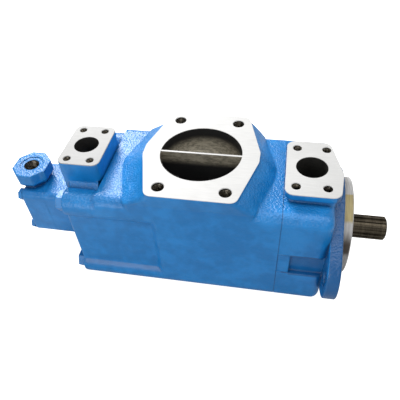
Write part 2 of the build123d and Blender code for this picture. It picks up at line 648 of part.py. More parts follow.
def rear_boss_outline(shrink=0.0):
    """Eight-sided outline of the rear outlet's boss."""
    box = Rectangle(REAR_BOSS_X - shrink, REAR_BOSS_Y - shrink)
    return chamfer(box.vertices(), REAR_BOSS_CHAMFER - shrink / 4)


def rear_pump_cover():
    """Cover of the rear pump with the outlet's eight-sided boss."""
    section = RectangleRounded(2 * REAR_HALF_Y, 2 * REAR_HALF_Z, REAR_CORNER)
    body = prism(section, X_END, X_REAR_JOINT)
    body = fillet(body.edges().group_by(Axis.X)[0], REAR_EDGE)
    body = chamfer(body.edges().group_by(Axis.X)[-1], JOINT_CHAMFER)
    place = Pos(REAR_PORT_X, 0)
    body += place * column(rear_boss_outline(), REAR_BOSS_RIM_Z, REAR_PORT_Z)
    skirt = loft([Pos(0, 0, REAR_BOSS_FOOT_Z) * rear_boss_outline(REAR_BOSS_CHAMFER),
                  Pos(0, 0, REAR_BOSS_RIM_Z) * rear_boss_outline()])
    body += place * skirt
    chamber_end = X_REAR_JOINT - REAR_CHAMBER_DEPTH
    body -= rod(REAR.radius - 5, chamber_end, X_REAR_JOINT)
    bush_seat = chamber_end - REAR_BUSH_LENGTH
    body -= rod(REAR_SHAFT_RADIUS + 3, bush_seat, X_REAR_JOINT)
    body -= place * column(Circle(REAR_PORT_RADIUS), REAR_PORT_FLOOR, REAR_PORT_Z)
    body -= place * column(Circle(REAR_SPOT_RADIUS), REAR_PORT_Z - REAR_SPOT_DEPTH, REAR_PORT_Z)
    passage = Pos(chamber_end - 1, 0) * Circle(REAR_PASSAGE_RADIUS)
    body -= column(passage, REAR_SHAFT_RADIUS + 7, REAR_PORT_FLOOR + 1)
    body -= rear_screw_holes(REAR_SCREW_RADIUS + TIE_HOLE_PLAY, X_END, X_REAR_JOINT)
    body -= o_ring_groove(REAR.radius + 2.6, X_REAR_JOINT, -1)
    return body


# ---------------------------------------------------------------- cartridges
def cam_ring(cart):
    """Ring with a two-lobed bore that drives the vanes in and out twice a turn."""
    low, high = cart.span(cart.ring_start, cart.ring_width)
    ring = Circle(cart.radius - SLIP) - Ellipse(cart.ring_minor, cart.ring_major)
    pin_at = (cart.ring_minor + cart.radius) / 2
    ring -= [Pos(side * pin_at, 0) * Circle(PIN_RADIUS + PIN_CLEARANCE) for side in (-1, 1)]
    return prism(ring, low, high)


def rotor_section(cart):
    """Rotor with its vane slots, each ending in a round root."""
    section = Circle(cart.rotor_radius)
    base = cart.slot_floor
    width = cart.vane_thickness + 2 * RUN
    slot = Pos((base + cart.radius) / 2, 0) * Rectangle(cart.radius - base, width)
    slot += Pos(base, 0) * Circle(width / 2 + SLOT_ROOT_EXTRA)
    return section - [Rot(0, 0, angle) * slot for angle in vane_angles(cart)]


def vane_angles(cart):
    """Angles of the vanes, half a pitch off the ring's short axis."""
    pitch = 360 / cart.vane_count
    return [pitch * (number + 0.5) for number in range(cart.vane_count)]


def rotor(cart, tip, root, teeth):
    """Rotor on the shaft's spline, thinner than its ring by the running clearance."""
    low, high = cart.span(cart.ring_start, cart.ring_width)
    section = rotor_section(cart) - spline_outline(teeth, tip, root, SPLINE_PLAY)
    return prism(section, low + RUN, high - RUN)


def vane(cart, angle):
    """One vane at rest, its bevelled tip just over the rotor."""
    low, high = cart.span(cart.ring_start, cart.ring_width)
    tip = cart.rotor_radius + VANE_TIP_REST
    plate = Pos(tip - cart.vane_height / 2, 0) * Rectangle(cart.vane_height, cart.vane_thickness)
    bevel = min(VANE_TIP_CHAMFER, cart.vane_thickness / 3)
    plate = chamfer(plate.vertices().group_by(Axis.X)[-1], bevel)
    return prism(Rot(0, 0, angle) * plate, low + RUN, high - RUN)


def side_plates(cart):
    """The two thin plates that seal the rotor's sides."""
    plates = []
    for start in (cart.pressure_plate, cart.ring_start + cart.ring_width):
        low, high = cart.span(start, cart.side_plate)
        plates.append(plate(cart, low, high, start < cart.ring_start))
    return Compound(children=plates)


def plate(cart, low, high, outlet):
    """One plate of the stack with its two kidney ports."""
    disc = tube(cart.radius - SLIP, cart.hub, low, high)
    pin_at = (cart.ring_minor + cart.radius) / 2
    pins = Sketch() + [Pos(side * pin_at, 0) * Circle(PIN_RADIUS + PIN_CLEARANCE) for side in (-1, 1)]
    angle = 45 if outlet else 135
    return disc - ports(cart, low, high, angle) - prism(pins, low, high)


def pressure_plate(cart):
    """Support plate on the outlet side, next to the castings' joint."""
    low, high = cart.span(0, cart.pressure_plate)
    return plate(cart, low, high, True)


def inlet_plate(cart):
    """Support plate on the inlet side, on the bore's shoulder."""
    low, high = cart.span(cart.depth - cart.inlet_plate, cart.inlet_plate)
    return plate(cart, low, high, False)


def locating_pins(cart):
    """The two pins that line up a cartridge's ring and plates."""
    low, high = cart.span(2, cart.depth - 4)
    pin_at = (cart.ring_minor + cart.radius) / 2
    pins = [prism(Pos(side * pin_at, 0) * Circle(PIN_RADIUS), low, high) for side in (-1, 1)]
    return Compound(children=pins)


# ---------------------------------------------------------------- shaft line
def drive_shaft():
    """Drive shaft: splined nose, seal and bearing journals, rotor splines, rear journal."""
    bearing_end = BEARING_SEAT_X - BEARING_WIDTH
    shoulder_end = bearing_end - SHOULDER_WIDTH
    journal_end = X_COVER_JOINT - BUSH_LENGTH
    tail_end = journal_end - COUPLING_LENGTH / 2
    nose_start = PILOT_HEIGHT + 2
    rotor_spline = spline_outline(ROTOR_SPLINE_TEETH, ROTOR_SPLINE_TIP, SHAFT_CORE)
    front_low, front_high = FRONT.span(FRONT.ring_start, FRONT.ring_width)
    cover_low, cover_high = COVER.span(COVER.ring_start, COVER.ring_width)
    core = Circle(SHAFT_CORE)
    # each step: its section and the X at which it ends, from the tail towards the nose
    steps = [
        (spline_outline(TAIL_TEETH, TAIL_SPLINE_TIP, TAIL_SPLINE_ROOT), journal_end),
        (Circle(JOURNAL_RADIUS), X_COVER_JOINT),
        (core, cover_low),
        (rotor_spline, cover_high),
        (core, front_low),
        (rotor_spline, front_high),
        (core, shoulder_end),
        (Circle(BEARING_BORE + SHOULDER_STEP), bearing_end),
        (Circle(BEARING_BORE), BEARING_SEAT_X + 1),
        (Circle(SEAL_JOURNAL), nose_start),
    ]
    shaft = Part()
    low = tail_end
    for section, high in steps:
        shaft += prism(section, low, high)
        low = high
    nose = prism(spline_outline(SPLINE_TEETH, SPLINE_TIP, SPLINE_ROOT), nose_start, SHAFT_END)
    bevel = SPLINE_TIP - SPLINE_ROOT
    cone = turned([(nose_start, 0), (nose_start, SPLINE_TIP + 1), (SHAFT_END - bevel, SPLINE_TIP + 1),
                   (SHAFT_END, SPLINE_ROOT), (SHAFT_END, CENTRE_RADIUS),
                   (SHAFT_END - CENTRE_RADIUS * math.sqrt(3), 0)])
    return shaft + (nose & cone)


def drive_coupling():
    """Splined sleeve that carries the drive on to the rear pump's shaft."""
    high = X_COVER_JOINT - BUSH_LENGTH - 1
    bore = spline_outline(TAIL_TEETH, TAIL_SPLINE_TIP, TAIL_SPLINE_ROOT, SPLINE_PLAY)
    return prism(Circle(COUPLING_RADIUS) - bore, high - COUPLING_LENGTH, high)


def rear_shaft():
    """Shaft of the rear pump: splined into the coupling and into its rotor."""
    start = X_COVER_JOINT - BUSH_LENGTH - COUPLING_LENGTH / 2 - 1
    high = X_COVER_JOINT - BUSH_LENGTH - 1
    coupling_end = high - COUPLING_LENGTH
    end = X_REAR_JOINT - REAR_CHAMBER_DEPTH - REAR_BUSH_LENGTH + 1
    shaft = rod(REAR_SHAFT_RADIUS, end, coupling_end)
    shaft += prism(spline_outline(TAIL_TEETH, TAIL_SPLINE_TIP, TAIL_SPLINE_ROOT), coupling_end, start)
    low, high = REAR.span(REAR.ring_start, REAR.ring_width)
    shaft += prism(spline_outline(TAIL_TEETH, TAIL_SPLINE_TIP, TAIL_SPLINE_ROOT), low, high)
    return shaft


def ball_pitch():
    """Radius of the circle on which the bearing's balls run."""
    return (BEARING_RADIUS + BEARING_BORE) / 2


def bearing_race(outer):
    """Outer or inner race of the ball bearing, with its groove."""
    low = BEARING_SEAT_X - BEARING_WIDTH
    pitch = ball_pitch()
    middle = (low + BEARING_SEAT_X) / 2
    if outer:
        ring = tube(BEARING_RADIUS - 0.02, pitch + RACE_SHOULDER, low, BEARING_SEAT_X)
    else:
        ring = tube(pitch - RACE_SHOULDER, BEARING_BORE + 0.02, low, BEARING_SEAT_X)
    groove = Pos(middle, pitch) * Circle(BALL_RADIUS + BALL_CLEARANCE)
    return ring - revolve(Plane.XZ * groove, Axis.X)


def balls():
    """The bearing's balls."""
    middle = BEARING_SEAT_X - BEARING_WIDTH / 2
    turns = [360 / BALL_COUNT * number for number in range(BALL_COUNT)]
    return [Rot(turn, 0, 0) * Pos(middle, 0, ball_pitch()) * Sphere(BALL_RADIUS) for turn in turns]


def bearing_cage():
    """Cage that spaces the balls."""
    middle = BEARING_SEAT_X - BEARING_WIDTH / 2
    pitch = ball_pitch()
    ring = tube(pitch + CAGE_THICKNESS / 2, pitch - CAGE_THICKNESS / 2,
                middle - CAGE_WIDTH / 2, middle + CAGE_WIDTH / 2)
    turns = [360 / BALL_COUNT * number for number in range(BALL_COUNT)]
    for turn in turns:
        ring -= Rot(turn, 0, 0) * Pos(middle, 0, pitch) * Cylinder(
            BALL_RADIUS + BALL_CLEARANCE, 2.5 * CAGE_THICKNESS)
    return ring


def snap_ring():
    """Retaining ring behind the bearing, open at one side."""
    high = BEARING_SEAT_X - BEARING_WIDTH
    ring = Circle(BEARING_RADIUS + 1.5) - Circle(BEARING_RADIUS - 3.5)
    ring -= Pos(0, -BEARING_RADIUS) * Rectangle(SNAP_RING_GAP, 20)
    return prism(ring, high - SNAP_RING_WIDTH, high)


def shaft_seal():
    """Lip seal: a stiffened ring whose lip runs on the shaft."""
    low = BEARING_SEAT_X + 1.5
    high = low + SEAL_WIDTH
    lip = SEAL_JOURNAL + RUN
    return turned([
        (low, lip + 1.2), (low, lip + 4), (high - 3, lip + 4), (high - 3, SEAL_RADIUS - 2.5),
        (low, SEAL_RADIUS - 2.5), (low, SEAL_RADIUS - 0.02), (high, SEAL_RADIUS - 0.02),
        (high, lip + 1.5), (low + 4, lip), (low + 2, lip),
    ])


def bush(outer, inner, low, high):
    """Plain bearing bush."""
    return tube(outer - 0.02, inner + RUN, low, high)


# ---------------------------------------------------------------- fasteners
def hex_screws(places, radius, flats, head, seat_x, tip_x):
    """A set of hex-head screws whose heads sit on the face at seat_x, pointing to +X."""
    screws = []
    for place in places:
        bolt_head = RegularPolygon(flats / 2, 6, major_radius=False)
        cap = prism(place * bolt_head, seat_x - head, seat_x)
        cap = chamfer(cap.edges().group_by(Axis.X)[0], HEAD_CHAMFER)
        shank = prism(place * Circle(radius), seat_x, tip_x)
        screws.append(cap + shank)
    return Compound(children=screws)


def tie_screws():
    """Four long screws that clamp the three large castings together."""
    places = four(2 * SCREW_PITCH_HALF, 2 * SCREW_PITCH_HALF)
    return hex_screws(places, TIE_SCREW_RADIUS, TIE_HEAD_FLATS, TIE_HEAD_HEIGHT, X_REAR_MOUNT,
                      X_FRONT_JOINT + TIE_THREAD_DEPTH)


def rear_pump_screws():
    """Four screws that hold the rear pump and its cover to the cover-end casting."""
    return hex_screws(rear_screw_places(), REAR_SCREW_RADIUS, REAR_HEAD_FLATS, REAR_HEAD_HEIGHT, X_END,
                      X_REAR_MOUNT + REAR_SCREW_DEPTH)


def body_o_rings():
    """O-rings of the three joints between the castings."""
    return Compound(children=[
        o_ring(FRONT.radius + O_RING_LAND, X_FRONT_JOINT, 1),
        o_ring(COVER.radius + O_RING_LAND, X_COVER_JOINT, -1),
        o_ring(REAR.radius + 2.6, X_REAR_JOINT, -1),
    ])


# ---------------------------------------------------------------- assembly
def build():
    """Every node of the pump by name."""
    cover_hub = JOURNAL_RADIUS + BUSH_WALL
    rear_bush_high = X_REAR_JOINT - REAR_CHAMBER_DEPTH
    nodes = {
        "shaft_end_body": shaft_end_body(),
        "inlet_body": inlet_body(),
        "cover_end_body": cover_end_body(),
        "rear_pump_body": rear_pump_body(),
        "rear_pump_cover": rear_pump_cover(),
        "tie_screws": tie_screws(),
        "rear_pump_screws": rear_pump_screws(),
        "body_o_rings": body_o_rings(),
        "drive_shaft": drive_shaft(),
        "drive_coupling": drive_coupling(),
        "rear_shaft": rear_shaft(),
        "shaft_seal": shaft_seal(),
        "bearing_outer_race": bearing_race(True),
        "bearing_inner_race": bearing_race(False),
        "bearing_balls": Compound(children=balls()),
        "bearing_cage": bearing_cage(),
        "bearing_snap_ring": snap_ring(),
        "shaft_bush": bush(cover_hub, JOURNAL_RADIUS, X_COVER_JOINT - BUSH_LENGTH, X_COVER_JOINT),
        "rear_shaft_bush": bush(REAR_SHAFT_RADIUS + 3, REAR_SHAFT_RADIUS, rear_bush_high - REAR_BUSH_LENGTH,
                                rear_bush_high),
    }
    for cart in (FRONT, COVER, REAR):
        nodes[f"{cart.name}_cam_ring"] = cam_ring(cart)
        nodes[f"{cart.name}_pressure_plate"] = pressure_plate(cart)
        nodes[f"{cart.name}_inlet_plate"] = inlet_plate(cart)
        nodes[f"{cart.name}_side_plates"] = side_plates(cart)
    for cart in (FRONT, COVER):
        nodes[f"{cart.name}_locating_pins"] = locating_pins(cart)
        nodes[f"{cart.name}_rotor"] = rotor(cart, ROTOR_SPLINE_TIP, SHAFT_CORE, ROTOR_SPLINE_TEETH)
        for number, angle in enumerate(vane_angles(cart), start=1):
            nodes[f"{cart.name}_vane_{number:02d}"] = vane(cart, angle)
    nodes["rear_rotor"] = rotor(REAR, TAIL_SPLINE_TIP, TAIL_SPLINE_ROOT, TAIL_TEETH)
    nodes["rear_vanes"] = Compound(children=[vane(REAR, angle) for angle in vane_angles(REAR)])
    return nodes


if __name__ == "__main__":
    os.makedirs("parts", exist_ok=True)
    for node, shape in build().items():
        export_step(shape, f"parts/{node}.step")
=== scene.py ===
"""Looks of a triple hydraulic vane pump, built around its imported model.

The row frame is in metres: +X runs out along the drive shaft, +Z points to the ports, and +Y
to the far side.  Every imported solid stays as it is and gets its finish: the castings cast paint
with bare port faces, and the pieces inside them steel, bronze or rubber.  The threads in the
tapped holes are new surfaces, worked out on grids.
"""
from __future__ import annotations

import json
import logging
import math
from dataclasses import dataclass, field, replace
from enum import Enum
from typing import Sequence, Union

import bpy
import numpy as np
from mathutils import Matrix, Vector


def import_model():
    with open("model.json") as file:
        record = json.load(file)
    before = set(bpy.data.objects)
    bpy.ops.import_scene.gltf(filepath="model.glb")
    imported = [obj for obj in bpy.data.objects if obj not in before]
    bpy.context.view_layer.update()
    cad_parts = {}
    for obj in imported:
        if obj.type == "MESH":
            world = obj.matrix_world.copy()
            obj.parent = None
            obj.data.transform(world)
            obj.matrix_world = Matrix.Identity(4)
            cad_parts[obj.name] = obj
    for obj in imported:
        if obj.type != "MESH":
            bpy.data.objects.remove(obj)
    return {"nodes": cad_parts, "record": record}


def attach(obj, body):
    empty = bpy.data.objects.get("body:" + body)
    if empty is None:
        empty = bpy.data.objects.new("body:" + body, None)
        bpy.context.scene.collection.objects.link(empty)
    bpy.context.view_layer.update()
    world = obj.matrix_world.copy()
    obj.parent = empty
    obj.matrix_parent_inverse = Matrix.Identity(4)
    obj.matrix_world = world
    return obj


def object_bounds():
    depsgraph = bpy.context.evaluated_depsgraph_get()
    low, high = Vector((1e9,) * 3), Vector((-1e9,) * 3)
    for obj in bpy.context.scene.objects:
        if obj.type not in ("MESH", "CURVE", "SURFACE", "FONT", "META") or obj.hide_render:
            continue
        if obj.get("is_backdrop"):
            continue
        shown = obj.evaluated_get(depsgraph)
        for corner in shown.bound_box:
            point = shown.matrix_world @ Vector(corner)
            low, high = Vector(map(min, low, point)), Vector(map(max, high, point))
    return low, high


LOG = logging.getLogger("vane_pump")
MM = 0.001
SPARE = 0.1 * MM  # how far a mask reaches past the wall that it is for
FACE_SKIN = 0.05 * MM  # how far under a milled face the masks of its ports start

Pair = tuple[float, float]
Colour = tuple[float, float, float]
Value = Union[bpy.types.NodeSocket, float, Colour]


class Slot(Enum):
    """The record's material slots."""

    PAINT = "casting_paint"
    SCREW = "screw_paint"
    SHAFT = "shaft_steel"
    STEEL = "ground_steel"
    BRONZE = "bronze"
    RUBBER = "seal_rubber"


class Plane(Enum):
    """The plane in which a round hole is measured, by its two axes."""

    XY = (0, 1)
    XZ = (0, 2)
    YZ = (1, 2)

    @property
    def normal(self) -> int:
        """The axis square to the plane."""
        return 3 - sum(self.value)


def toned(colour: Colour, factor: float) -> Colour:
    """A colour made lighter or darker by a factor."""
    return tuple(factor * channel for channel in colour)


# ---------------------------------------------------------------- shader graphs
class Graph:
    """A material and the few node calls that its finish needs."""

    def __init__(self, name: str) -> None:
        """Make an empty material with its output and a principled shader."""
        self.material = bpy.data.materials.new(name)
        self.material.use_nodes = True
        self.tree = self.material.node_tree
        self.tree.nodes.clear()
        output = self.tree.nodes.new("ShaderNodeOutputMaterial")
        self.shader = self.tree.nodes.new("ShaderNodeBsdfPrincipled")
        self.link(self.shader.outputs["BSDF"], output.inputs["Surface"])
        coordinates = self.tree.nodes.new("ShaderNodeTexCoord")
        self.place = coordinates.outputs["Object"]
        split = self.tree.nodes.new("ShaderNodeSeparateXYZ")
        self.link(self.place, split.inputs[0])
        self.axes = [split.outputs[axis] for axis in "XYZ"]
        geometry = self.tree.nodes.new("ShaderNodeNewGeometry")
        normal = self.tree.nodes.new("ShaderNodeVectorTransform")
        normal.vector_type = "NORMAL"
        normal.convert_from = "WORLD"
        normal.convert_to = "OBJECT"
        self.link(geometry.outputs["Normal"], normal.inputs[0])
        facing = self.tree.nodes.new("ShaderNodeSeparateXYZ")
        self.link(normal.outputs[0], facing.inputs[0])
        self.facing = [facing.outputs[axis] for axis in "XYZ"]

    def link(self, source: bpy.types.NodeSocket, target: bpy.types.NodeSocket) -> None:
        """Join two sockets."""
        self.tree.links.new(source, target)

    def feed(self, socket: bpy.types.NodeSocket, value: Value) -> None:
        """Give a socket a link or a plain value."""
        if isinstance(value, bpy.types.NodeSocket):
            self.link(value, socket)
        elif isinstance(value, tuple) and len(socket.default_value) == 4:
            socket.default_value = (*value, 1.0)
        else:
            socket.default_value = value

    def math(self, operation: str, *values: Value) -> Value:
        """One math node.

        Args:
            operation: the node's operation.
            values: sockets or numbers.

        Returns:
            The result's socket.
        """
        node = self.tree.nodes.new("ShaderNodeMath")
        node.operation = operation
        for socket, value in zip(node.inputs, values):
            self.feed(socket, value)
        return node.outputs[0]

    def ramp(self, value: Value, low: float, high: float, start: float = 0.0,
             end: float = 1.0) -> Value:
        """Map a value smoothly from low..high to start..end and hold it outside."""
        node = self.tree.nodes.new("ShaderNodeMapRange")
        node.interpolation_type = "SMOOTHSTEP"
        for socket, number in zip(node.inputs, (value, low, high, start, end)):
            self.feed(socket, number)
        return node.outputs[0]

    def mix(self, factor: Value, first: Value, second: Value) -> Value:
        """Mix two colours."""
        node = self.tree.nodes.new("ShaderNodeMix")
        node.data_type = "RGBA"
        self.feed(node.inputs[0], factor)
        self.feed(node.inputs[6], first)
        self.feed(node.inputs[7], second)
        return node.outputs[2]

    def blend(self, factor: Value, first: Value, second: Value) -> Value:
        """Mix two numbers."""
        node = self.tree.nodes.new("ShaderNodeMix")
        self.feed(node.inputs[0], factor)
        self.feed(node.inputs[2], first)
        self.feed(node.inputs[3], second)
        return node.outputs[0]

    def noise(self, scale: float, detail: float = 2.0, roughness: float = 0.5,
              stretch: tuple[float, float, float] = (1.0, 1.0, 1.0)) -> Value:
        """Noise on the piece's own coordinates.

        Args:
            scale: cells in a metre.
            detail: octaves.
            roughness: strength of the finer octaves.
            stretch: factors on the three axes.

        Returns:
            The noise value's socket.
        """
        mapping = self.tree.nodes.new("ShaderNodeMapping")
        self.link(self.place, mapping.inputs["Vector"])
        mapping.inputs["Scale"].default_value = stretch
        node = self.tree.nodes.new("ShaderNodeTexNoise")
        self.link(mapping.outputs[0], node.inputs["Vector"])
        node.inputs["Scale"].default_value = scale
        node.inputs["Detail"].default_value = detail
        node.inputs["Roughness"].default_value = roughness
        return node.outputs[0]

    def cells(self, scale: float, smoothness: float = 0.6) -> Value:
        """Distance to the nearest of scattered points, smoothed: small pits and grains."""
        node = self.tree.nodes.new("ShaderNodeTexVoronoi")
        node.feature = "SMOOTH_F1"
        self.link(self.place, node.inputs["Vector"])
        node.inputs["Scale"].default_value = scale
        node.inputs["Smoothness"].default_value = smoothness
        return node.outputs["Distance"]

    def product(self, first: Value, *others: Value) -> Value:
        """Product of values; of masks, 1 where all are 1."""
        return self.math("MULTIPLY", first, self.product(*others)) if others else first

    def weigh(self, first: Value, first_share: float, second: Value, second_share: float) -> Value:
        """Sum of two values, each times its share."""
        return self.math("ADD", self.product(first, first_share), self.product(second, second_share))

    def rest(self, mask: Value) -> Value:
        """What a mask leaves: 1 where it is 0."""
        return self.math("SUBTRACT", 1.0, mask)

    def away(self, axis: int, place: float) -> Value:
        """Distance along an axis from a place on it, on either side."""
        return self.math("ABSOLUTE", self.math("SUBTRACT", self.axes[axis], place))

    def hypot(self, *offsets: Value) -> Value:
        """Distance from two offsets at right angles: the root of the sum of their squares."""
        return self.math("SQRT", self.math("ADD", *(self.product(offset, offset) for offset in offsets)))

    def radius(self, plane: Plane, centre: Pair) -> Value:
        """Distance from an axis square to a plane, which meets it at a centre."""
        return self.hypot(*(self.math("SUBTRACT", self.axes[axis], middle)
                            for axis, middle in zip(plane.value, centre)))

    def inside(self, distance: Value, limit: float) -> Value:
        """1 where a distance is under a limit."""
        return self.math("LESS_THAN", distance, limit)

    def between(self, value: Value, low: float, high: float) -> Value:
        """1 where a value lies between two limits."""
        return self.product(self.math("GREATER_THAN", value, low), self.math("LESS_THAN", value, high))

    def choose(self, factor: Value, first: Value, second: Value) -> Value:
        """Mix two vectors, such as normals."""
        node = self.tree.nodes.new("ShaderNodeMix")
        node.data_type = "VECTOR"
        self.feed(node.inputs[0], factor)
        self.feed(node.inputs[4], first)
        self.feed(node.inputs[5], second)
        return node.outputs[1]

    def any_of(self, masks: Sequence[Value]) -> Value:
        """1 where at least one mask is 1, and 0 if there are no masks."""
        result = masks[0] if masks else 0.0
        for mask in masks[1:]:
            result = self.math("MAXIMUM", result, mask)
        return result

    def bump(self, height: Value, depth: float, normal: Value | None = None) -> Value:
        """Bump from a height map.

        Args:
            height: height from 0 to 1.
            depth: metres that a height of 1 stands for.
            normal: an earlier bump to build on.

        Returns:
            The normal's socket.
        """
        node = self.tree.nodes.new("ShaderNodeBump")
        node.inputs["Strength"].default_value = 1.0
        node.inputs["Distance"].default_value = depth
        self.feed(node.inputs["Height"], height)
        if normal is not None:
            self.link(normal, node.inputs["Normal"])
        return node.outputs[0]

    def rounded(self, radius: float, samples: int = 4) -> Value:
        """Normal that rounds sharp edges over a small radius."""
        node = self.tree.nodes.new("ShaderNodeBevel")
        node.samples = samples
        node.inputs["Radius"].default_value = radius
        return node.outputs[0]

    def level_across(self, normal: Value, mask: Value) -> Value:
        """Take a normal's X part away where a mask is 1."""
        split = self.tree.nodes.new("ShaderNodeSeparateXYZ")
        self.link(normal, split.inputs[0])
        level = self.tree.nodes.new("ShaderNodeCombineXYZ")
        self.link(self.product(split.outputs[0], self.rest(mask)), level.inputs[0])
        self.link(split.outputs[1], level.inputs[1])
        self.link(split.outputs[2], level.inputs[2])
        unit = self.tree.nodes.new("ShaderNodeVectorMath")
        unit.operation = "NORMALIZE"
        self.link(level.outputs[0], unit.inputs[0])
        return unit.outputs[0]

    def openness(self, distance: float, samples: int = 8) -> Value:
        """How much of the surroundings a place sees within a distance, from 0 to 1."""
        node = self.tree.nodes.new("ShaderNodeAmbientOcclusion")
        node.samples = samples
        node.inputs["Distance"].default_value = distance
        return node.outputs["AO"]

    def set(self, **values: Value) -> None:
        """Set the shader's inputs by name, with underscores for spaces."""
        for name, value in values.items():
            self.feed(self.shader.inputs[name.replace("_", " ")], value)


# ---------------------------------------------------------------- masks of a casting
@dataclass(frozen=True)
class Hollow:
    """A round space about an axis: its wall is bare metal, not painted.

    Attributes:
        plane: the plane square to the axis.
        centre: where the axis meets that plane.
        radius: radius of the space.
        low: where it starts along the axis.
        high: where it ends along the axis.
    """

    plane: Plane
    centre: Pair
    radius: float
    low: float
    high: float

    @classmethod
    def from_mount(cls, mount: dict, plane: Plane, deeper: float = 0.5 * MM,
                   outside: float = 0.5 * MM) -> Hollow:
        """Read a round hole from its mount.

        Args:
            mount: the record's mount, whose axis points out of the hole along +Y or +Z.
            plane: the plane square to the hole.
            deeper: how far the bare metal goes on past the hole's floor.
            outside: how far it goes on past the hole's mouth.

        Returns:
            The hollow.
        """
        position, dims = mount["pos_m"], mount["dims"]
        middle, half = position[plane.normal], dims["length_mm"] * MM / 2
        centre = tuple(position[axis] for axis in plane.value)
        return cls(plane, centre, dims["r_mm"] * MM + SPARE, middle - half - deeper,
                   middle + half + outside)

    def mask(self, graph: Graph) -> Value:
        """1 on the walls of the space."""
        near = graph.inside(graph.radius(self.plane, self.centre), self.radius)
        return graph.product(near, graph.between(graph.axes[self.plane.normal], self.low, self.high))


@dataclass(frozen=True)
class Tapping:
    """The thread of a port face's bolt holes.

    Attributes:
        pitch: thread pitch.
        depth: how deep the thread goes.
        past: how far the bare hole goes on past the thread.
    """

    pitch: float
    depth: float
    past: float = 5 * MM


@dataclass(frozen=True)
class PortFace:
    """A four-bolt port face: its place comes from the record's mounts.

    Attributes:
        centre: middle of the bolt pattern, at the height of the face.
        half_x: half the bolt spacing along X.
        half_y: half the bolt spacing along Y.
        hole: radius of the tapped holes.
        tapping: the thread in them.
        bore: radius of the port.
        floor: height at which the port opens into the chamber.
        countersink: how far a hole's countersink reaches past the hole.
    """

    centre: Vector
    half_x: float
    half_y: float
    hole: float
    tapping: Tapping
    bore: float
    floor: float
    countersink: float = 0.95 * MM

    @classmethod
    def from_mounts(cls, mounts: dict, name: str, tapping: Tapping, bore: float = 0.0) -> PortFace:
        """Read a port from the mounts of its bolt pattern, of its face and, if it has one, of its bore.

        Args:
            mounts: the record's mounts by name.
            name: what the names of the port's mounts begin with.
            tapping: the thread of its bolt holes.
            bore: radius of a port whose bore has no mount, which goes down to the shaft.

        Returns:
            The port.
        """
        bolts, face = mounts[f"{name}_bolts"], mounts[f"{name}_face"]
        floor = 0.0
        if not bore:
            hole = mounts[f"{name}_bore"]
            bore = hole["dims"]["r_mm"] * MM
            floor = hole["pos_m"][2] - hole["dims"]["length_mm"] * MM / 2
        dims = bolts["dims"]
        centre = Vector((bolts["pos_m"][0], bolts["pos_m"][1], face["pos_m"][2]))
        return cls(centre, dims["spacing_x_mm"] * MM / 2, dims["spacing_y_mm"] * MM / 2,
                   dims["hole_r_mm"] * MM, tapping, bore, floor)

    def holes(self) -> list[Vector]:
        """Centres of the four holes at the face."""
        return [self.centre + Vector((sx * self.half_x, sy * self.half_y, 0))
                for sx in (-1, 1) for sy in (-1, 1)]

    def hollow(self, graph: Graph) -> Value:
        """Mask of the port and its countersunk holes, folded about the middle lines of the face."""
        across = graph.math("SUBTRACT", graph.away(0, self.centre.x), self.half_x)
        along = graph.math("SUBTRACT", graph.math("ABSOLUTE", graph.axes[1]), self.half_y)
        holes = graph.inside(graph.hypot(across, along), self.hole + self.countersink)
        bore = graph.inside(graph.radius(Plane.XY, (self.centre.x, self.centre.y)), self.bore + SPARE)
        top = self.centre.z - FACE_SKIN
        bottom = top - self.tapping.depth - self.tapping.past
        return graph.any_of([graph.product(bore, graph.between(graph.axes[2], self.floor, top)),
                             graph.product(holes, graph.between(graph.axes[2], bottom, top))])


@dataclass(frozen=True)
class FlangeShade:
    """Painted shade in the recesses behind the flange's bolt holes and on the flange's rim.

    Attributes:
        rear: where along X the recesses start.
        flange: where along X the flange starts.
        front: where along X the shade ends, just past the mounting face.
        side: how far from the middle along Y the recesses start.
        half_height: half the height of the recesses.
        recess: strength of the shade in the recesses.
        rim: strength of the shade on the rim.
    """

    rear: float = -57 * MM
    flange: float = -14 * MM
    front: float = 1 * MM
    side: float = 66 * MM
    half_height: float = 20 * MM
    recess: float = 0.55
    rim: float = 0.80

    def mask(self, graph: Graph) -> Value:
        """Strength of the shade, from 0 to 1."""
        side = graph.math("GREATER_THAN", graph.math("ABSOLUTE", graph.axes[1]), self.side)
        low = graph.math("LESS_THAN", graph.math("ABSOLUTE", graph.axes[2]), self.half_height)
        recess = graph.product(self.recess, graph.between(graph.axes[0], self.rear, self.flange), side, low)
        rim = graph.product(self.rim, graph.between(graph.axes[0], self.flange, self.front))
        return graph.math("MAXIMUM", recess, rim)


@dataclass(frozen=True)
class CastingShape:
    """What the paint has to know of a casting.

    Attributes:
        port: its four-bolt face, if it has one.
        hollows: further spaces whose walls are bare.
        joints: where along X it meets other castings.
        turned: where along X its turned surfaces start and end, if it has any.
        shade: where painted shade darkens its paint.
        hairline: where along X a joint shows as a fine line in the paint.
    """

    port: PortFace | None = None
    hollows: Sequence[Hollow] = ()
    joints: Sequence[float] = ()
    turned: Pair | None = None
    shade: FlangeShade | None = None
    hairline: float | None = None


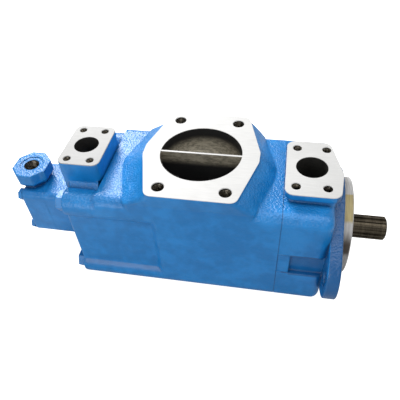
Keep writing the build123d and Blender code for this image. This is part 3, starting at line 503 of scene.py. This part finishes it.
# ---------------------------------------------------------------- finishes
@dataclass(frozen=True)
class CastSkin:
    """The relief of painted cast iron.

    Attributes:
        grain: size of the casting's grain.
        coarse: size of the wide ripples.
        ripple_depth: height of the ripples as a share of their size.
        grain_depth: height of the grain on faces that look up.
        calm_depth: height of the grain on upright faces.
        edge: rounding of the cast edges.
        looks_up: upward parts of a normal between which the grain grows to its full height.
        above: heights between which it does so too, so that it stays calm low down.
    """

    grain: float = 0.0026
    coarse: float = 0.012
    ripple_depth: float = 1 / 30
    grain_depth: float = 0.0008
    calm_depth: float = 0.00012
    edge: float = 0.0040
    looks_up: Pair = (0.15, 0.80)
    above: Pair = (-0.03, 0.01)

    def ripple(self, graph: Graph) -> Value:
        """The wide ripples, from 0 to 1."""
        return graph.noise(1 / self.coarse)

    def fine(self, graph: Graph) -> Value:
        """The finest grain, from 0 to 1, three times as fine as the casting's."""
        return graph.noise(3 / self.grain, 3.0, 0.6)

    def normal(self, graph: Graph, ripple: Value, fine: Value, joint: Value) -> Value:
        """Normal of the painted skin: rounded edges, then ripples, then grain.

        Args:
            graph: the material.
            ripple: the wide ripples.
            fine: the finest grain.
            joint: mask of the joints, over which the paint runs without a rounded edge.

        Returns:
            The normal's socket.
        """
        upward = graph.product(graph.ramp(graph.facing[2], *self.looks_up),
                               graph.ramp(graph.axes[2], *self.above))
        grain = graph.weigh(graph.cells(1 / self.grain), 0.75, fine, 0.35)
        height = graph.product(grain, graph.blend(upward, self.calm_depth / self.grain_depth, 1.0))
        body = graph.level_across(graph.rounded(self.edge, 8), joint)
        soft = graph.bump(ripple, self.coarse * self.ripple_depth, body)
        return graph.bump(height, self.grain_depth, soft)


@dataclass(frozen=True)
class BareIron:
    """Machined cast iron: milled faces, the turned pilot and the walls of the ports.

    Attributes:
        face: colour of the milled faces.
        face_roughness: blur of their reflection.
        face_metallic: share of metal reflection on them.
        raw: colour of bare iron in the ports.
        oil_and_shade: near-black colour of oily iron in the narrow ports, and of the painted shade on the
            inlet's walls and in its bolt holes.
        wall_roughness: blur of the reflection in the ports.
        wall_metallic: share of metal reflection in the ports.
        wide: radius from which a port lets light in.
        near_light: depths between which the painted light on its near wall fades.
        far_light: depths between which the painted light on its far wall grows.
        far_dark: depths between which that painted light fades.
        web_half: half the thickness of the web between the two walls.
        pale: turned iron's own colour, also for the pale bands of painted reflection.
        straw_reflection: colour of a band of painted reflection on the turned iron.
        brown: colour of a dark band of painted reflection on the turned iron, and of its turning marks.
        tool_marks: depth of the marks of milling and turning.
    """

    face: Colour = (0.54, 0.54, 0.535)
    face_roughness: float = 0.60
    face_metallic: float = 0.12
    raw: Colour = (0.340, 0.310, 0.240)
    oil_and_shade: Colour = (0.012, 0.012, 0.013)
    wall_roughness: float = 0.55
    wall_metallic: float = 0.35
    wide: float = 0.040
    near_light: Pair = (0.006, 0.020)
    far_light: Pair = (0.010, 0.022)
    far_dark: Pair = (0.045, 0.060)
    web_half: float = 2 * MM
    pale: Colour = (0.50, 0.50, 0.50)
    straw_reflection: Colour = (0.42, 0.35, 0.17)
    brown: Colour = (0.060, 0.048, 0.040)
    tool_marks: float = 0.00004

    def wall_colour(self, graph: Graph, port: PortFace | None) -> Value:
        """Iron in the ports: near black in a narrow one, for oil and painted shade, and painted light and
        shade by depth in the wide inlet.

        Args:
            graph: the material.
            port: the casting's port, if it has one.

        Returns:
            The colour's socket.
        """
        streaks = graph.noise(260.0, 4.0, 0.7, (0.5, 1.0, 1.6))
        raw = graph.mix(graph.ramp(streaks, 0.35, 0.65), toned(self.raw, 0.45), self.raw)
        if not port or port.bore < self.wide:
            # Narrow ports: near black, for oily iron and painted shade.
            return graph.mix(0.94, raw, self.oil_and_shade)
        # Painted light and shade on the inlet's walls: dark under the rim, lit deeper on the far wall and
        # just under the face on the near wall, dark in the bolt holes.
        depth = graph.math("SUBTRACT", port.centre.z, graph.axes[2])
        far_lit = graph.product(graph.ramp(depth, *self.far_light),
                                graph.ramp(depth, *self.far_dark, 1.0, 0.0))
        near_lit = graph.ramp(depth, *self.near_light, 1.5, 0.0)
        beyond_web = graph.math("GREATER_THAN", graph.axes[1], self.web_half)
        lit = graph.blend(beyond_web, near_lit, far_lit)
        across = graph.math("ADD", graph.away(0, port.centre.x), graph.math("ABSOLUTE", graph.axes[1]))
        bolts = graph.math("GREATER_THAN", across, 1.45 * port.bore)
        return graph.mix(graph.product(lit, graph.rest(bolts)), self.oil_and_shade, raw)

    def turned_colour(self, graph: Graph) -> Value:
        """Turned iron of the pilot with painted reflections in bands by the angle from its top: pale, straw,
        pale and brown.
        """
        marks = graph.noise(900.0, 2.0, 0.6, (1.0, 0.05, 0.05))
        angle = graph.math("ARCTAN2", graph.product(graph.axes[1], -1.0), graph.axes[2])
        wander = graph.product(graph.math("SUBTRACT", graph.noise(40.0), 0.5), 0.10)
        angle = graph.math("ADD", angle, wander)
        # Painted reflection: bands of colour around the pilot by angle.
        bands = ((6, 8, self.straw_reflection), (37, 42, self.pale), (48, 66, self.brown), (74, 82, self.pale))
        colour = self.pale
        for start, end, tone in bands:
            colour = graph.mix(graph.ramp(angle, math.radians(start), math.radians(end)), colour, tone)
        colour = graph.mix(graph.ramp(graph.facing[0], 0.3, 0.8), colour, self.pale)
        return graph.mix(graph.ramp(marks, 0.35, 0.65, 0.0, 0.35), colour, self.brown)

    def milled_colour(self, graph: Graph) -> Value:
        """Bare iron as a face mill leaves it: faint bands and a few stains."""
        bands = graph.noise(60.0, 3.0, 0.6, (1.0, 14.0, 1.0))
        stains = graph.noise(14.0, 3.0, 0.6)
        tone = graph.weigh(bands, 0.5, stains, 0.5)
        return graph.mix(graph.ramp(tone, 0.35, 0.65), toned(self.face, 0.88), self.face)


@dataclass(frozen=True)
class CastPaint:
    """Enamel sprayed over rough cast iron, with bare machined faces.

    Attributes:
        deep: paint where it lies thick.
        light: paint on high spots.
        patches: patches of thick and thin paint in a metre.
        roughness: blur of the paint's reflection.
        painted_shade: colour of the painted shade that darkens the paint in nooks and recesses.
        shade_reach: how near other surfaces must be for painted shade on the paint.
        seam: how far from a joint the paint runs over it without a rounded edge.
        line: half width of the hairline, where it is darkest and where it ends.
        line_tone: how light the hairline stays.
        low: heights between which the painted shade on ledges that look up eases.
        upward_shade: strength of the painted shade on faces that look up, under and over those heights.
        rim: height of the bare band under a milled face.
        skin: relief of the painted iron.
        iron: the iron where it is bare.
    """

    deep: Colour = (0.003, 0.168, 0.470)
    light: Colour = (0.010, 0.226, 0.600)
    patches: float = 22.0
    roughness: float = 0.30
    painted_shade: Colour = (0.003, 0.075, 0.235)
    shade_reach: float = 0.014
    seam: float = 0.0045
    line: Pair = (0.0003, 0.0007)
    line_tone: float = 0.35
    low: Pair = (-0.03, -0.02)
    upward_shade: Pair = (0.5, 0.12)
    rim: float = 0.0007
    skin: CastSkin = CastSkin()
    iron: BareIron = BareIron()

    def build(self, name: str, shape: CastingShape = CastingShape()) -> bpy.types.Material:
        """Make the paint for one casting.

        Args:
            name: the material's name.
            shape: what the paint has to know of the casting.

        Returns:
            The material.
        """
        graph = Graph(name)
        iron = self.iron
        ripple, fine = self.skin.ripple(graph), self.skin.fine(graph)
        joint = graph.any_of([self.near_joint(graph, place) for place in shape.joints])
        # Painted shade: the paint darkens towards the shade colour where the painted light level is low.
        paint = graph.mix(self.painted_light_level(graph, shape, joint), self.painted_shade, self.enamel(graph, ripple))
        faces = []
        holes = [hollow.mask(graph) for hollow in shape.hollows]
        if shape.port:
            top = shape.port.centre.z
            faces.append(graph.between(graph.axes[2], top - self.rim, top + MM))
            holes.append(shape.port.hollow(graph))
        if shape.turned:
            faces.append(graph.between(graph.axes[0], *shape.turned))
        face, hole, machined = graph.any_of(faces), graph.any_of(holes), graph.any_of(faces + holes)
        metal = graph.mix(face, iron.wall_colour(graph, shape.port), iron.milled_colour(graph))
        if shape.turned:
            metal = graph.mix(faces[-1], metal, iron.turned_colour(graph))
        wall_roughness = graph.blend(hole, self.roughness, iron.wall_roughness)
        graph.set(Base_Color=graph.mix(machined, paint, metal),
                  Roughness=graph.blend(face, wall_roughness, iron.face_roughness),
                  Metallic=graph.blend(face, graph.product(hole, iron.wall_metallic), iron.face_metallic),
                  Normal=graph.choose(machined, self.skin.normal(graph, ripple, fine, joint),
                                      graph.bump(fine, iron.tool_marks)))
        return graph.material

    def near_joint(self, graph: Graph, place: float) -> Value:
        """1 beside a joint, falling to 0 away from it and on faces that lie along it."""
        side_on = graph.ramp(graph.math("ABSOLUTE", graph.facing[0]), 0.76, 0.90, 1.0, 0.0)
        return graph.product(side_on, graph.ramp(graph.away(0, place), self.seam, 2 * self.seam, 1.0, 0.0))

    def enamel(self, graph: Graph, ripple: Value) -> Value:
        """Colour of the paint in the open, by patches and by the ripples under it."""
        shade = graph.weigh(graph.noise(self.patches, 3.0, 0.55), 0.6, ripple, 0.4)
        return graph.mix(graph.ramp(shade, 0.38, 0.66), self.deep, self.light)

    def painted_light_level(self, graph: Graph, shape: CastingShape, joint: Value) -> Value:
        """Light level painted into the paint: 1 in the open, down to 0 in painted shade in nooks and
        recesses, and on the dark hairline.

        Args:
            graph: the material.
            shape: what the paint has to know of the casting.
            joint: mask of the joints, beside which it counts as open.

        Returns:
            The value's socket.
        """
        # Painted shade from ambient occlusion in nooks and recesses.
        light = graph.ramp(graph.openness(self.shade_reach), 0.30, 0.80)
        # Painted shade behind the flange and on its rim.
        if shape.shade:
            light = graph.math("MINIMUM", light, graph.rest(shape.shade.mask(graph)))
        light = graph.math("MAXIMUM", light, joint)
        if shape.hairline is not None:
            line = graph.ramp(graph.away(0, shape.hairline), *self.line, self.line_tone, 1.0)
            light = graph.math("MINIMUM", light, line)
        # Painted shade on faces that look up, strongest on the low ledges.
        upward_shade = graph.ramp(graph.axes[2], *self.low, *self.upward_shade)
        return graph.math("SUBTRACT", light, graph.product(graph.ramp(graph.facing[2], 0.2, 0.7), upward_shade))


@dataclass(frozen=True)
class Metal:
    """A machined metal with turning marks about the shaft's axis.

    Attributes:
        name: the material's name.
        low: darker colour of the streaks.
        high: lighter colour.
        metallic: share of metal reflection.
        roughness: blur of the reflection.
        pitch: distance between turning marks.
        depth: depth of the marks.
        clouds: clouds of darker and lighter metal in a metre.
        edge: rounding of the edges.
    """

    name: str
    low: Colour
    high: Colour
    metallic: float = 1.0
    roughness: float = 0.32
    pitch: float = 0.0011
    depth: float = 0.00002
    clouds: float = 45.0
    edge: float = 0.0003

    def build(self) -> bpy.types.Material:
        """Make the material."""
        graph = Graph(self.name)
        marks = graph.noise(1 / self.pitch, 2.0, 0.6, (1.0, 0.04, 0.04))
        cloud = graph.noise(self.clouds, 3.0, 0.6)
        tone = graph.weigh(marks, 0.6, cloud, 0.4)
        graph.set(Base_Color=graph.mix(graph.ramp(tone, 0.35, 0.68), self.low, self.high),
                  Roughness=graph.ramp(cloud, 0.3, 0.7, self.roughness * 0.8, self.roughness * 1.25),
                  Metallic=self.metallic,
                  Normal=graph.bump(marks, self.depth, graph.rounded(self.edge)))
        return graph.material


@dataclass(frozen=True)
class Nitrile:
    """Smooth black seal rubber.

    Attributes:
        name: the material's name.
        colour: its colour where it is darkest.
        worn: how much lighter it is where it is worn.
        roughness: blur of its reflection.
        depth: height of its unevenness.
    """

    name: str = "black_nitrile"
    colour: Colour = (0.022, 0.022, 0.024)
    worn: float = 1.8
    roughness: float = 0.45
    depth: float = 0.00002

    def build(self) -> bpy.types.Material:
        """Make the material."""
        graph = Graph(self.name)
        cloud = graph.noise(300.0)
        worn = toned(self.colour, self.worn)
        graph.set(Base_Color=graph.mix(graph.ramp(cloud, 0.3, 0.7), self.colour, worn),
                  Roughness=self.roughness, Normal=graph.bump(cloud, self.depth))
        return graph.material


GROUND_STEEL = Metal("ground_steel", (0.50, 0.49, 0.47), (0.68, 0.67, 0.65), roughness=0.24)
SHAFT_STEEL = Metal("shaft_steel", (0.036, 0.029, 0.019), (0.105, 0.088, 0.062), metallic=0.85,
                    roughness=0.34, depth=0.00003)
BRONZE = Metal("bearing_bronze", (0.42, 0.26, 0.11), (0.60, 0.40, 0.19), roughness=0.33)
THREAD_IRON = Metal("threaded_iron", (0.015, 0.013, 0.010), (0.26, 0.23, 0.18), metallic=0.85,
                    roughness=0.25, depth=0.00001)
SCREW_SKIN = CastSkin(grain_depth=0.00012, calm_depth=0.00006, edge=0.0006)


# ---------------------------------------------------------------- surfaces
def grid_mesh(name: str, points: np.ndarray, closed: bool = False) -> bpy.types.Object:
    """Make a mesh from a grid of points.

    Args:
        name: the piece's name.
        points: array of shape (rows, columns, 3).
        closed: whether the last column joins the first.

    Returns:
        The new object, linked to the scene.
    """
    rows, columns = points.shape[:2]
    index = np.arange(rows * columns).reshape(rows, columns)
    right = np.roll(index, -1, axis=1) if closed else index[:, 1:]
    left = index if closed else index[:, :-1]
    quads = np.stack([left[:-1], right[:-1], right[1:], left[1:]], axis=-1).reshape(-1, 4)
    mesh = bpy.data.meshes.new(name)
    mesh.from_pydata(points.reshape(-1, 3).tolist(), [], quads.tolist())
    mesh.validate()
    mesh.update()
    piece = bpy.data.objects.new(name, mesh)
    bpy.context.scene.collection.objects.link(piece)
    return piece


def join(name: str, pieces: Sequence[bpy.types.Object]) -> bpy.types.Object:
    """Join pieces into one object with a name."""
    with bpy.context.temp_override(active_object=pieces[0], selected_editable_objects=list(pieces)):
        bpy.ops.object.join()
    pieces[0].name = name
    return pieces[0]


def smooth(piece: bpy.types.Object, angle: float) -> None:
    """Shade a piece smooth, but keep edges sharper than an angle."""
    mesh = piece.data
    mesh.shade_smooth()
    mesh.set_sharp_from_angle(angle=angle)


@dataclass(frozen=True)
class Thread:
    """An internal screw thread, as a skin inside a tapped hole.

    Attributes:
        wall: radius of the tapped hole, which the skin stays inside.
        pitch: rise in one turn.
        length: how deep the skin goes.
        height: how far the crests stand inwards from the wall.
        lead: depth at which the thread starts, under the countersink.
        around: points around the hole.
        per_turn: rows for each turn.
        gap: how far the skin's roots stand clear of the wall.
    """

    wall: float
    pitch: float
    length: float
    height: float
    lead: float = 0.6 * MM
    around: int = 40
    per_turn: int = 6
    gap: float = 0.03 * MM

    def build(self, name: str, mouth: Vector, out: Vector) -> bpy.types.Object:
        """Make the thread at a hole.

        The radius at turn u and depth d is wall - gap - height * tri(d / pitch - u), where tri is
        a triangle wave from 0 to 1.  The height fades out over one pitch at both ends.

        Args:
            name: the piece's name.
            mouth: centre of the hole's mouth.
            out: direction out of the hole, along Y or Z.

        Returns:
            The thread's object.
        """
        rows = int(self.length / self.pitch * self.per_turn) + 1
        depth = np.linspace(self.lead, self.length, rows)[:, None]
        turn = np.linspace(0.0, 1.0, self.around, endpoint=False)[None, :]
        phase = (depth / self.pitch - turn) % 1.0
        wave = 1.0 - np.abs(2.0 * phase - 1.0)
        fade_in = np.clip((depth - self.lead) / self.pitch, 0.0, 1.0)
        fade_out = np.clip((self.length - depth) / self.pitch, 0.0, 1.0)
        radius = self.wall - self.gap - self.height * wave * fade_in * fade_out
        angle = 2.0 * math.pi * turn
        across, along = radius * np.cos(angle), radius * np.sin(angle)
        level = -np.broadcast_to(depth, radius.shape)
        if abs(out.z) > 0.5:
            points = np.stack([across, along, level], axis=-1)
        else:
            points = np.stack([across, level, along], axis=-1)[:, ::-1]
        piece = grid_mesh(name, points + np.array(mouth), closed=True)
        smooth(piece, math.radians(60))
        return piece


# ---------------------------------------------------------------- sub-assemblies
def dress_node(piece: bpy.types.Object, material: bpy.types.Material) -> None:
    """Give a piece one material."""
    if piece.data.materials:
        for slot in piece.material_slots:
            slot.material = material
    else:
        piece.data.materials.append(material)


@dataclass
class Castings:
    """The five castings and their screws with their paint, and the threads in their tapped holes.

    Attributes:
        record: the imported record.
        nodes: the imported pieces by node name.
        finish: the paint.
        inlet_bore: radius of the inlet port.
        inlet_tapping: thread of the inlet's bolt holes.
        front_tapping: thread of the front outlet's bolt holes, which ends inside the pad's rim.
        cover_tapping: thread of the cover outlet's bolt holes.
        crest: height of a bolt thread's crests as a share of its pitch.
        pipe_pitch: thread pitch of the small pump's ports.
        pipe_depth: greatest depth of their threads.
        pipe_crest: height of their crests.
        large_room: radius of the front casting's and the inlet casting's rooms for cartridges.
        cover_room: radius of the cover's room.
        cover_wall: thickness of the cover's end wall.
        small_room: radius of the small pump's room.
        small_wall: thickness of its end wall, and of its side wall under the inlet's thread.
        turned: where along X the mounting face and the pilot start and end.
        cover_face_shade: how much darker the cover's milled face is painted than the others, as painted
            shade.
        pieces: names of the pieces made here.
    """

    record: dict
    nodes: dict
    finish: CastPaint = CastPaint()
    inlet_bore: float = 50.8 * MM
    inlet_tapping: Tapping = Tapping(2.0 * MM, 24 * MM)
    front_tapping: Tapping = Tapping(1.75 * MM, 8.5 * MM)
    cover_tapping: Tapping = Tapping(1.5 * MM, 18 * MM)
    crest: float = 0.375
    pipe_pitch: float = 1.81 * MM
    pipe_depth: float = 16 * MM
    pipe_crest: float = 0.675 * MM
    large_room: float = 62.2 * MM
    cover_room: float = 60 * MM
    cover_wall: float = 12 * MM
    small_room: float = 29.2 * MM
    small_wall: float = 15 * MM
    turned: Pair = (-0.1 * MM, 20 * MM)
    cover_face_shade: float = 0.63
    pieces: list = field(default_factory=list)

    def __post_init__(self) -> None:
        """Read the three port faces from the record's mounts."""
        self.mounts = {mount["name"]: mount for mount in self.record["mounts"]}
        self.inlet = PortFace.from_mounts(self.mounts, "inlet", self.inlet_tapping, self.inlet_bore)
        self.front = PortFace.from_mounts(self.mounts, "front_outlet", self.front_tapping)
        self.cover = PortFace.from_mounts(self.mounts, "cover_outlet", self.cover_tapping)

    def dress(self) -> None:
        """Give each casting its own paint, and the screws theirs."""
        front, cover, rear = (self.span(node)[0]
                              for node in ("shaft_end_body", "inlet_body", "rear_pump_body"))
        outlet = Hollow.from_mount(self.mounts["rear_outlet_thread"], Plane.XY)
        inlet = Hollow.from_mount(self.mounts["rear_inlet_thread"], Plane.XZ, deeper=self.small_wall)
        coat = self.finish
        # Painted shade: a darker copy of the milled face for the cover's port face.
        shaded_coat = replace(coat, iron=replace(coat.iron, face=toned(coat.iron.face, self.cover_face_shade)))
        screw = replace(coat, skin=SCREW_SKIN).build("paint_screws")
        self.paint("shaft_end_body", coat.build("paint_shaft_end", CastingShape(
            port=self.front, hollows=[self.room("shaft_end_body", self.large_room)], joints=(front,),
            turned=self.turned, shade=FlangeShade(), hairline=front)))
        self.paint("inlet_body", coat.build("paint_inlet", CastingShape(
            port=self.inlet, hollows=[self.room("inlet_body", self.large_room)], joints=(front, cover),
            hairline=front)))
        self.paint("cover_end_body", shaded_coat.build("paint_cover_end", CastingShape(
            port=self.cover, hollows=[self.room("cover_end_body", self.cover_room, self.cover_wall)],
            joints=(cover,))))
        self.paint("rear_pump_cover", coat.build("paint_rear_cover", CastingShape(
            hollows=[self.room("rear_pump_cover", self.small_room, self.small_wall), outlet],
            joints=(rear,))))
        self.paint("rear_pump_body", coat.build("paint_rear_body", CastingShape(
            hollows=[self.room("rear_pump_body", self.small_room), inlet], joints=(rear,))))
        for node in ("tie_screws", "rear_pump_screws"):
            self.paint(node, screw)

    def span(self, node: str) -> Pair:
        """Where a casting starts and ends along X."""
        ends = [(self.nodes[node].matrix_world @ Vector(corner)).x for corner in self.nodes[node].bound_box]
        return min(ends), max(ends)

    def room(self, node: str, radius: float, wall: float = SPARE) -> Hollow:
        """The round space in a casting about the shaft.

        Args:
            node: the casting.
            radius: radius within which all surfaces are bare.
            wall: how far from the casting's rearmost point the space starts.

        Returns:
            The hollow.
        """
        start, end = self.span(node)
        return Hollow(Plane.YZ, (0.0, 0.0), radius, start + wall, end + MM)

    def paint(self, node: str, material: bpy.types.Material) -> None:
        """Put one material on a node."""
        dress_node(self.nodes[node], material)

    def threads(self, material: bpy.types.Material) -> None:
        """Make the threads of the port faces and of the small pump's ports."""
        up = Vector((0, 0, 1))
        for name, port in (("inlet", self.inlet), ("front_outlet", self.front), ("cover_outlet", self.cover)):
            pitch, depth = port.tapping.pitch, port.tapping.depth
            thread = Thread(port.hole, pitch, depth, self.crest * pitch, lead=1.1 * MM)
            parts = [thread.build(f"{name}_thread_{number}", mouth, up)
                     for number, mouth in enumerate(port.holes(), start=1)]
            self.keep(join(f"{name}_bolt_threads", parts), material)
        for name in ("rear_outlet_thread", "rear_inlet_thread"):
            mount = self.mounts[name]
            out = Vector(mount["axis"])
            length = mount["dims"]["length_mm"] * MM
            mouth = Vector(mount["pos_m"]) + out * (length / 2)
            thread = Thread(mount["dims"]["r_mm"] * MM, self.pipe_pitch, min(length - MM, self.pipe_depth),
                            self.pipe_crest, around=56)
            self.keep(thread.build(f"{name}_form", mouth, out), material)

    def keep(self, piece: bpy.types.Object, material: bpy.types.Material) -> None:
        """Finish a new piece and let it ride on the housing."""
        dress_node(piece, material)
        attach(piece, "housing")
        self.pieces.append(piece.name)


@dataclass
class RunningGear:
    """Everything inside the castings, by the record's material slots.

    Attributes:
        record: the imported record.
        nodes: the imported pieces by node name.
    """

    record: dict
    nodes: dict

    def dress(self, finishes: dict[Slot, bpy.types.Material]) -> int:
        """Dress every node whose slot has a finish here.

        Args:
            finishes: material by slot.

        Returns:
            The number of nodes dressed.
        """
        count = 0
        for part in self.record["subparts"]:
            slot = Slot(part["material_slot"])
            if slot in finishes:
                dress_node(self.nodes[part["node"]], finishes[slot])
                count += 1
        return count


# ---------------------------------------------------------------- studio
@dataclass(frozen=True)
class StudioCamera:
    """The camera: where it stands, how it is turned and its lens.

    Attributes:
        position: where it stands.
        right: direction to the right of its view.
        up: direction to the top of its view.
        focal: focal length in millimetres.
        sensor: width of the sensor in millimetres.
        near: nearest distance that it sees.
    """

    position: Vector = Vector((-0.08772, -0.40602, 0.44473))
    right: Vector = Vector((0.98328, 0.17520, -0.04973))
    up: Vector = Vector((-0.09082, 0.70838, 0.69996))
    focal: float = 39.11
    sensor: float = 36.0
    near: float = 0.01

    def place(self) -> None:
        """Make the camera and set it as the scene's."""
        data = bpy.data.cameras.new("studio_camera")
        data.sensor_width = self.sensor
        data.lens = self.focal
        data.clip_start = self.near
        back = self.right.cross(self.up)
        rotation = Matrix((self.right, self.up, back)).transposed()
        camera = bpy.data.objects.new("studio_camera", data)
        camera.matrix_world = Matrix.Translation(self.position) @ rotation.to_4x4()
        bpy.context.scene.collection.objects.link(camera)
        bpy.context.scene.camera = camera


@dataclass(frozen=True)
class SoftBox:
    """A rectangular studio lamp that points at a target.

    Attributes:
        name: its name.
        place: where it stands.
        size: width and height.
        power: power in watts.
        colour: colour of its light.
        target: what it points at.
    """

    name: str
    place: Vector
    size: Pair
    power: float
    colour: Colour = (1.0, 1.0, 1.0)
    target: Vector = Vector((-0.19, 0.0, 0.02))

    def light(self) -> None:
        """Make the lamp."""
        data = bpy.data.lights.new(self.name, "AREA")
        data.shape = "RECTANGLE"
        data.size, data.size_y = self.size
        data.energy = self.power
        data.color = self.colour
        lamp = bpy.data.objects.new(self.name, data)
        lamp.location = self.place
        lamp.rotation_euler = (self.place - self.target).to_track_quat("Z", "Y").to_euler()
        bpy.context.scene.collection.objects.link(lamp)


@dataclass(frozen=True)
class Studio:
    """Pale floor, white surroundings and the lamps.

    Attributes:
        floor_level: height of the floor.
        floor_half: half its width.
        floor_grey: how light it is as the pump sees it.
        ambient: strength of the surroundings as a light.
        mirrored: their strength in reflections.
        boxes: the lamps.
    """

    floor_level: float
    floor_half: float = 6.0
    floor_grey: float = 0.55
    ambient: float = 0.30
    mirrored: float = 0.55
    boxes: tuple[SoftBox, ...] = (
        SoftBox("overhead", Vector((-0.30, -0.15, 1.30)), (1.2, 0.9), 8.5, (1.0, 0.99, 0.97)),
        SoftBox("near_fill", Vector((-0.60, -1.3, 0.45)), (0.9, 0.9), 7.3, (0.97, 0.98, 1.0)),
        SoftBox("far_key", Vector((-0.72, 0.85, 0.84)), (0.50, 0.42), 18.0),
        SoftBox("right_fill", Vector((0.60, -0.10, 0.95)), (0.7, 0.7), 3.5),
    )

    def build(self) -> None:
        """Make floor, world and lamps."""
        self.floor()
        self.world()
        for box in self.boxes:
            box.light()
        bpy.context.scene.view_settings.view_transform = "Standard"

    def floor(self) -> None:
        """A wide floor that is plain white to the camera and a grey reflector to the pump."""
        x, y = np.meshgrid(*2 * [np.array([-self.floor_half, self.floor_half])])
        points = np.stack([x, y, np.full_like(x, self.floor_level)], axis=-1)
        floor = grid_mesh("floor", points)
        material = bpy.data.materials.new("pale_floor")
        material.use_nodes = True
        tree = material.node_tree
        shader = tree.nodes["Principled BSDF"]
        shader.inputs["Base Color"].default_value = (*3 * [self.floor_grey], 1.0)
        shader.inputs["Roughness"].default_value = 0.9
        shader.inputs["Specular IOR Level"].default_value = 0.0
        shader.inputs["Emission Color"].default_value = (1.0, 1.0, 1.0, 1.0)
        path = tree.nodes.new("ShaderNodeLightPath")
        tree.links.new(path.outputs["Is Camera Ray"], shader.inputs["Emission Strength"])
        floor.data.materials.append(material)
        floor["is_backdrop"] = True

    def world(self) -> None:
        """Surroundings that are white to the camera, softer in reflections and softest as a light."""
        world = bpy.data.worlds.new("studio_world")
        world.use_nodes = True
        tree = world.node_tree
        background = tree.nodes["Background"]
        background.inputs["Color"].default_value = (1.0, 1.0, 1.0, 1.0)
        path = tree.nodes.new("ShaderNodeLightPath")
        reflected, seen = tree.nodes.new("ShaderNodeMix"), tree.nodes.new("ShaderNodeMix")
        reflected.inputs[2].default_value = self.ambient
        for mix, output, level in ((reflected, "Is Glossy Ray", self.mirrored), (seen, "Is Camera Ray", 1.0)):
            tree.links.new(path.outputs[output], mix.inputs[0])
            mix.inputs[3].default_value = level
        tree.links.new(reflected.outputs[0], seen.inputs[2])
        tree.links.new(seen.outputs[0], background.inputs["Strength"])
        bpy.context.scene.world = world


def main() -> None:
    """Load the frame, dress it, add the threads and light the studio."""
    logging.basicConfig(level=logging.INFO, format="%(name)s: %(message)s")
    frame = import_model()
    solid_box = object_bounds()
    record, nodes = frame["record"], frame["nodes"]
    StudioCamera().place()
    castings = Castings(record, nodes)
    castings.dress()
    LOG.info("castings painted")
    castings.threads(THREAD_IRON.build())
    LOG.info("threads: %s", ", ".join(castings.pieces))
    gear = RunningGear(record, nodes)
    count = gear.dress({Slot.SHAFT: SHAFT_STEEL.build(), Slot.STEEL: GROUND_STEEL.build(),
                        Slot.BRONZE: BRONZE.build(), Slot.RUBBER: Nitrile().build()})
    LOG.info("running gear: %d nodes dressed", count)
    Studio(solid_box[0][2]).build()


if __name__ == "__main__":
    main()
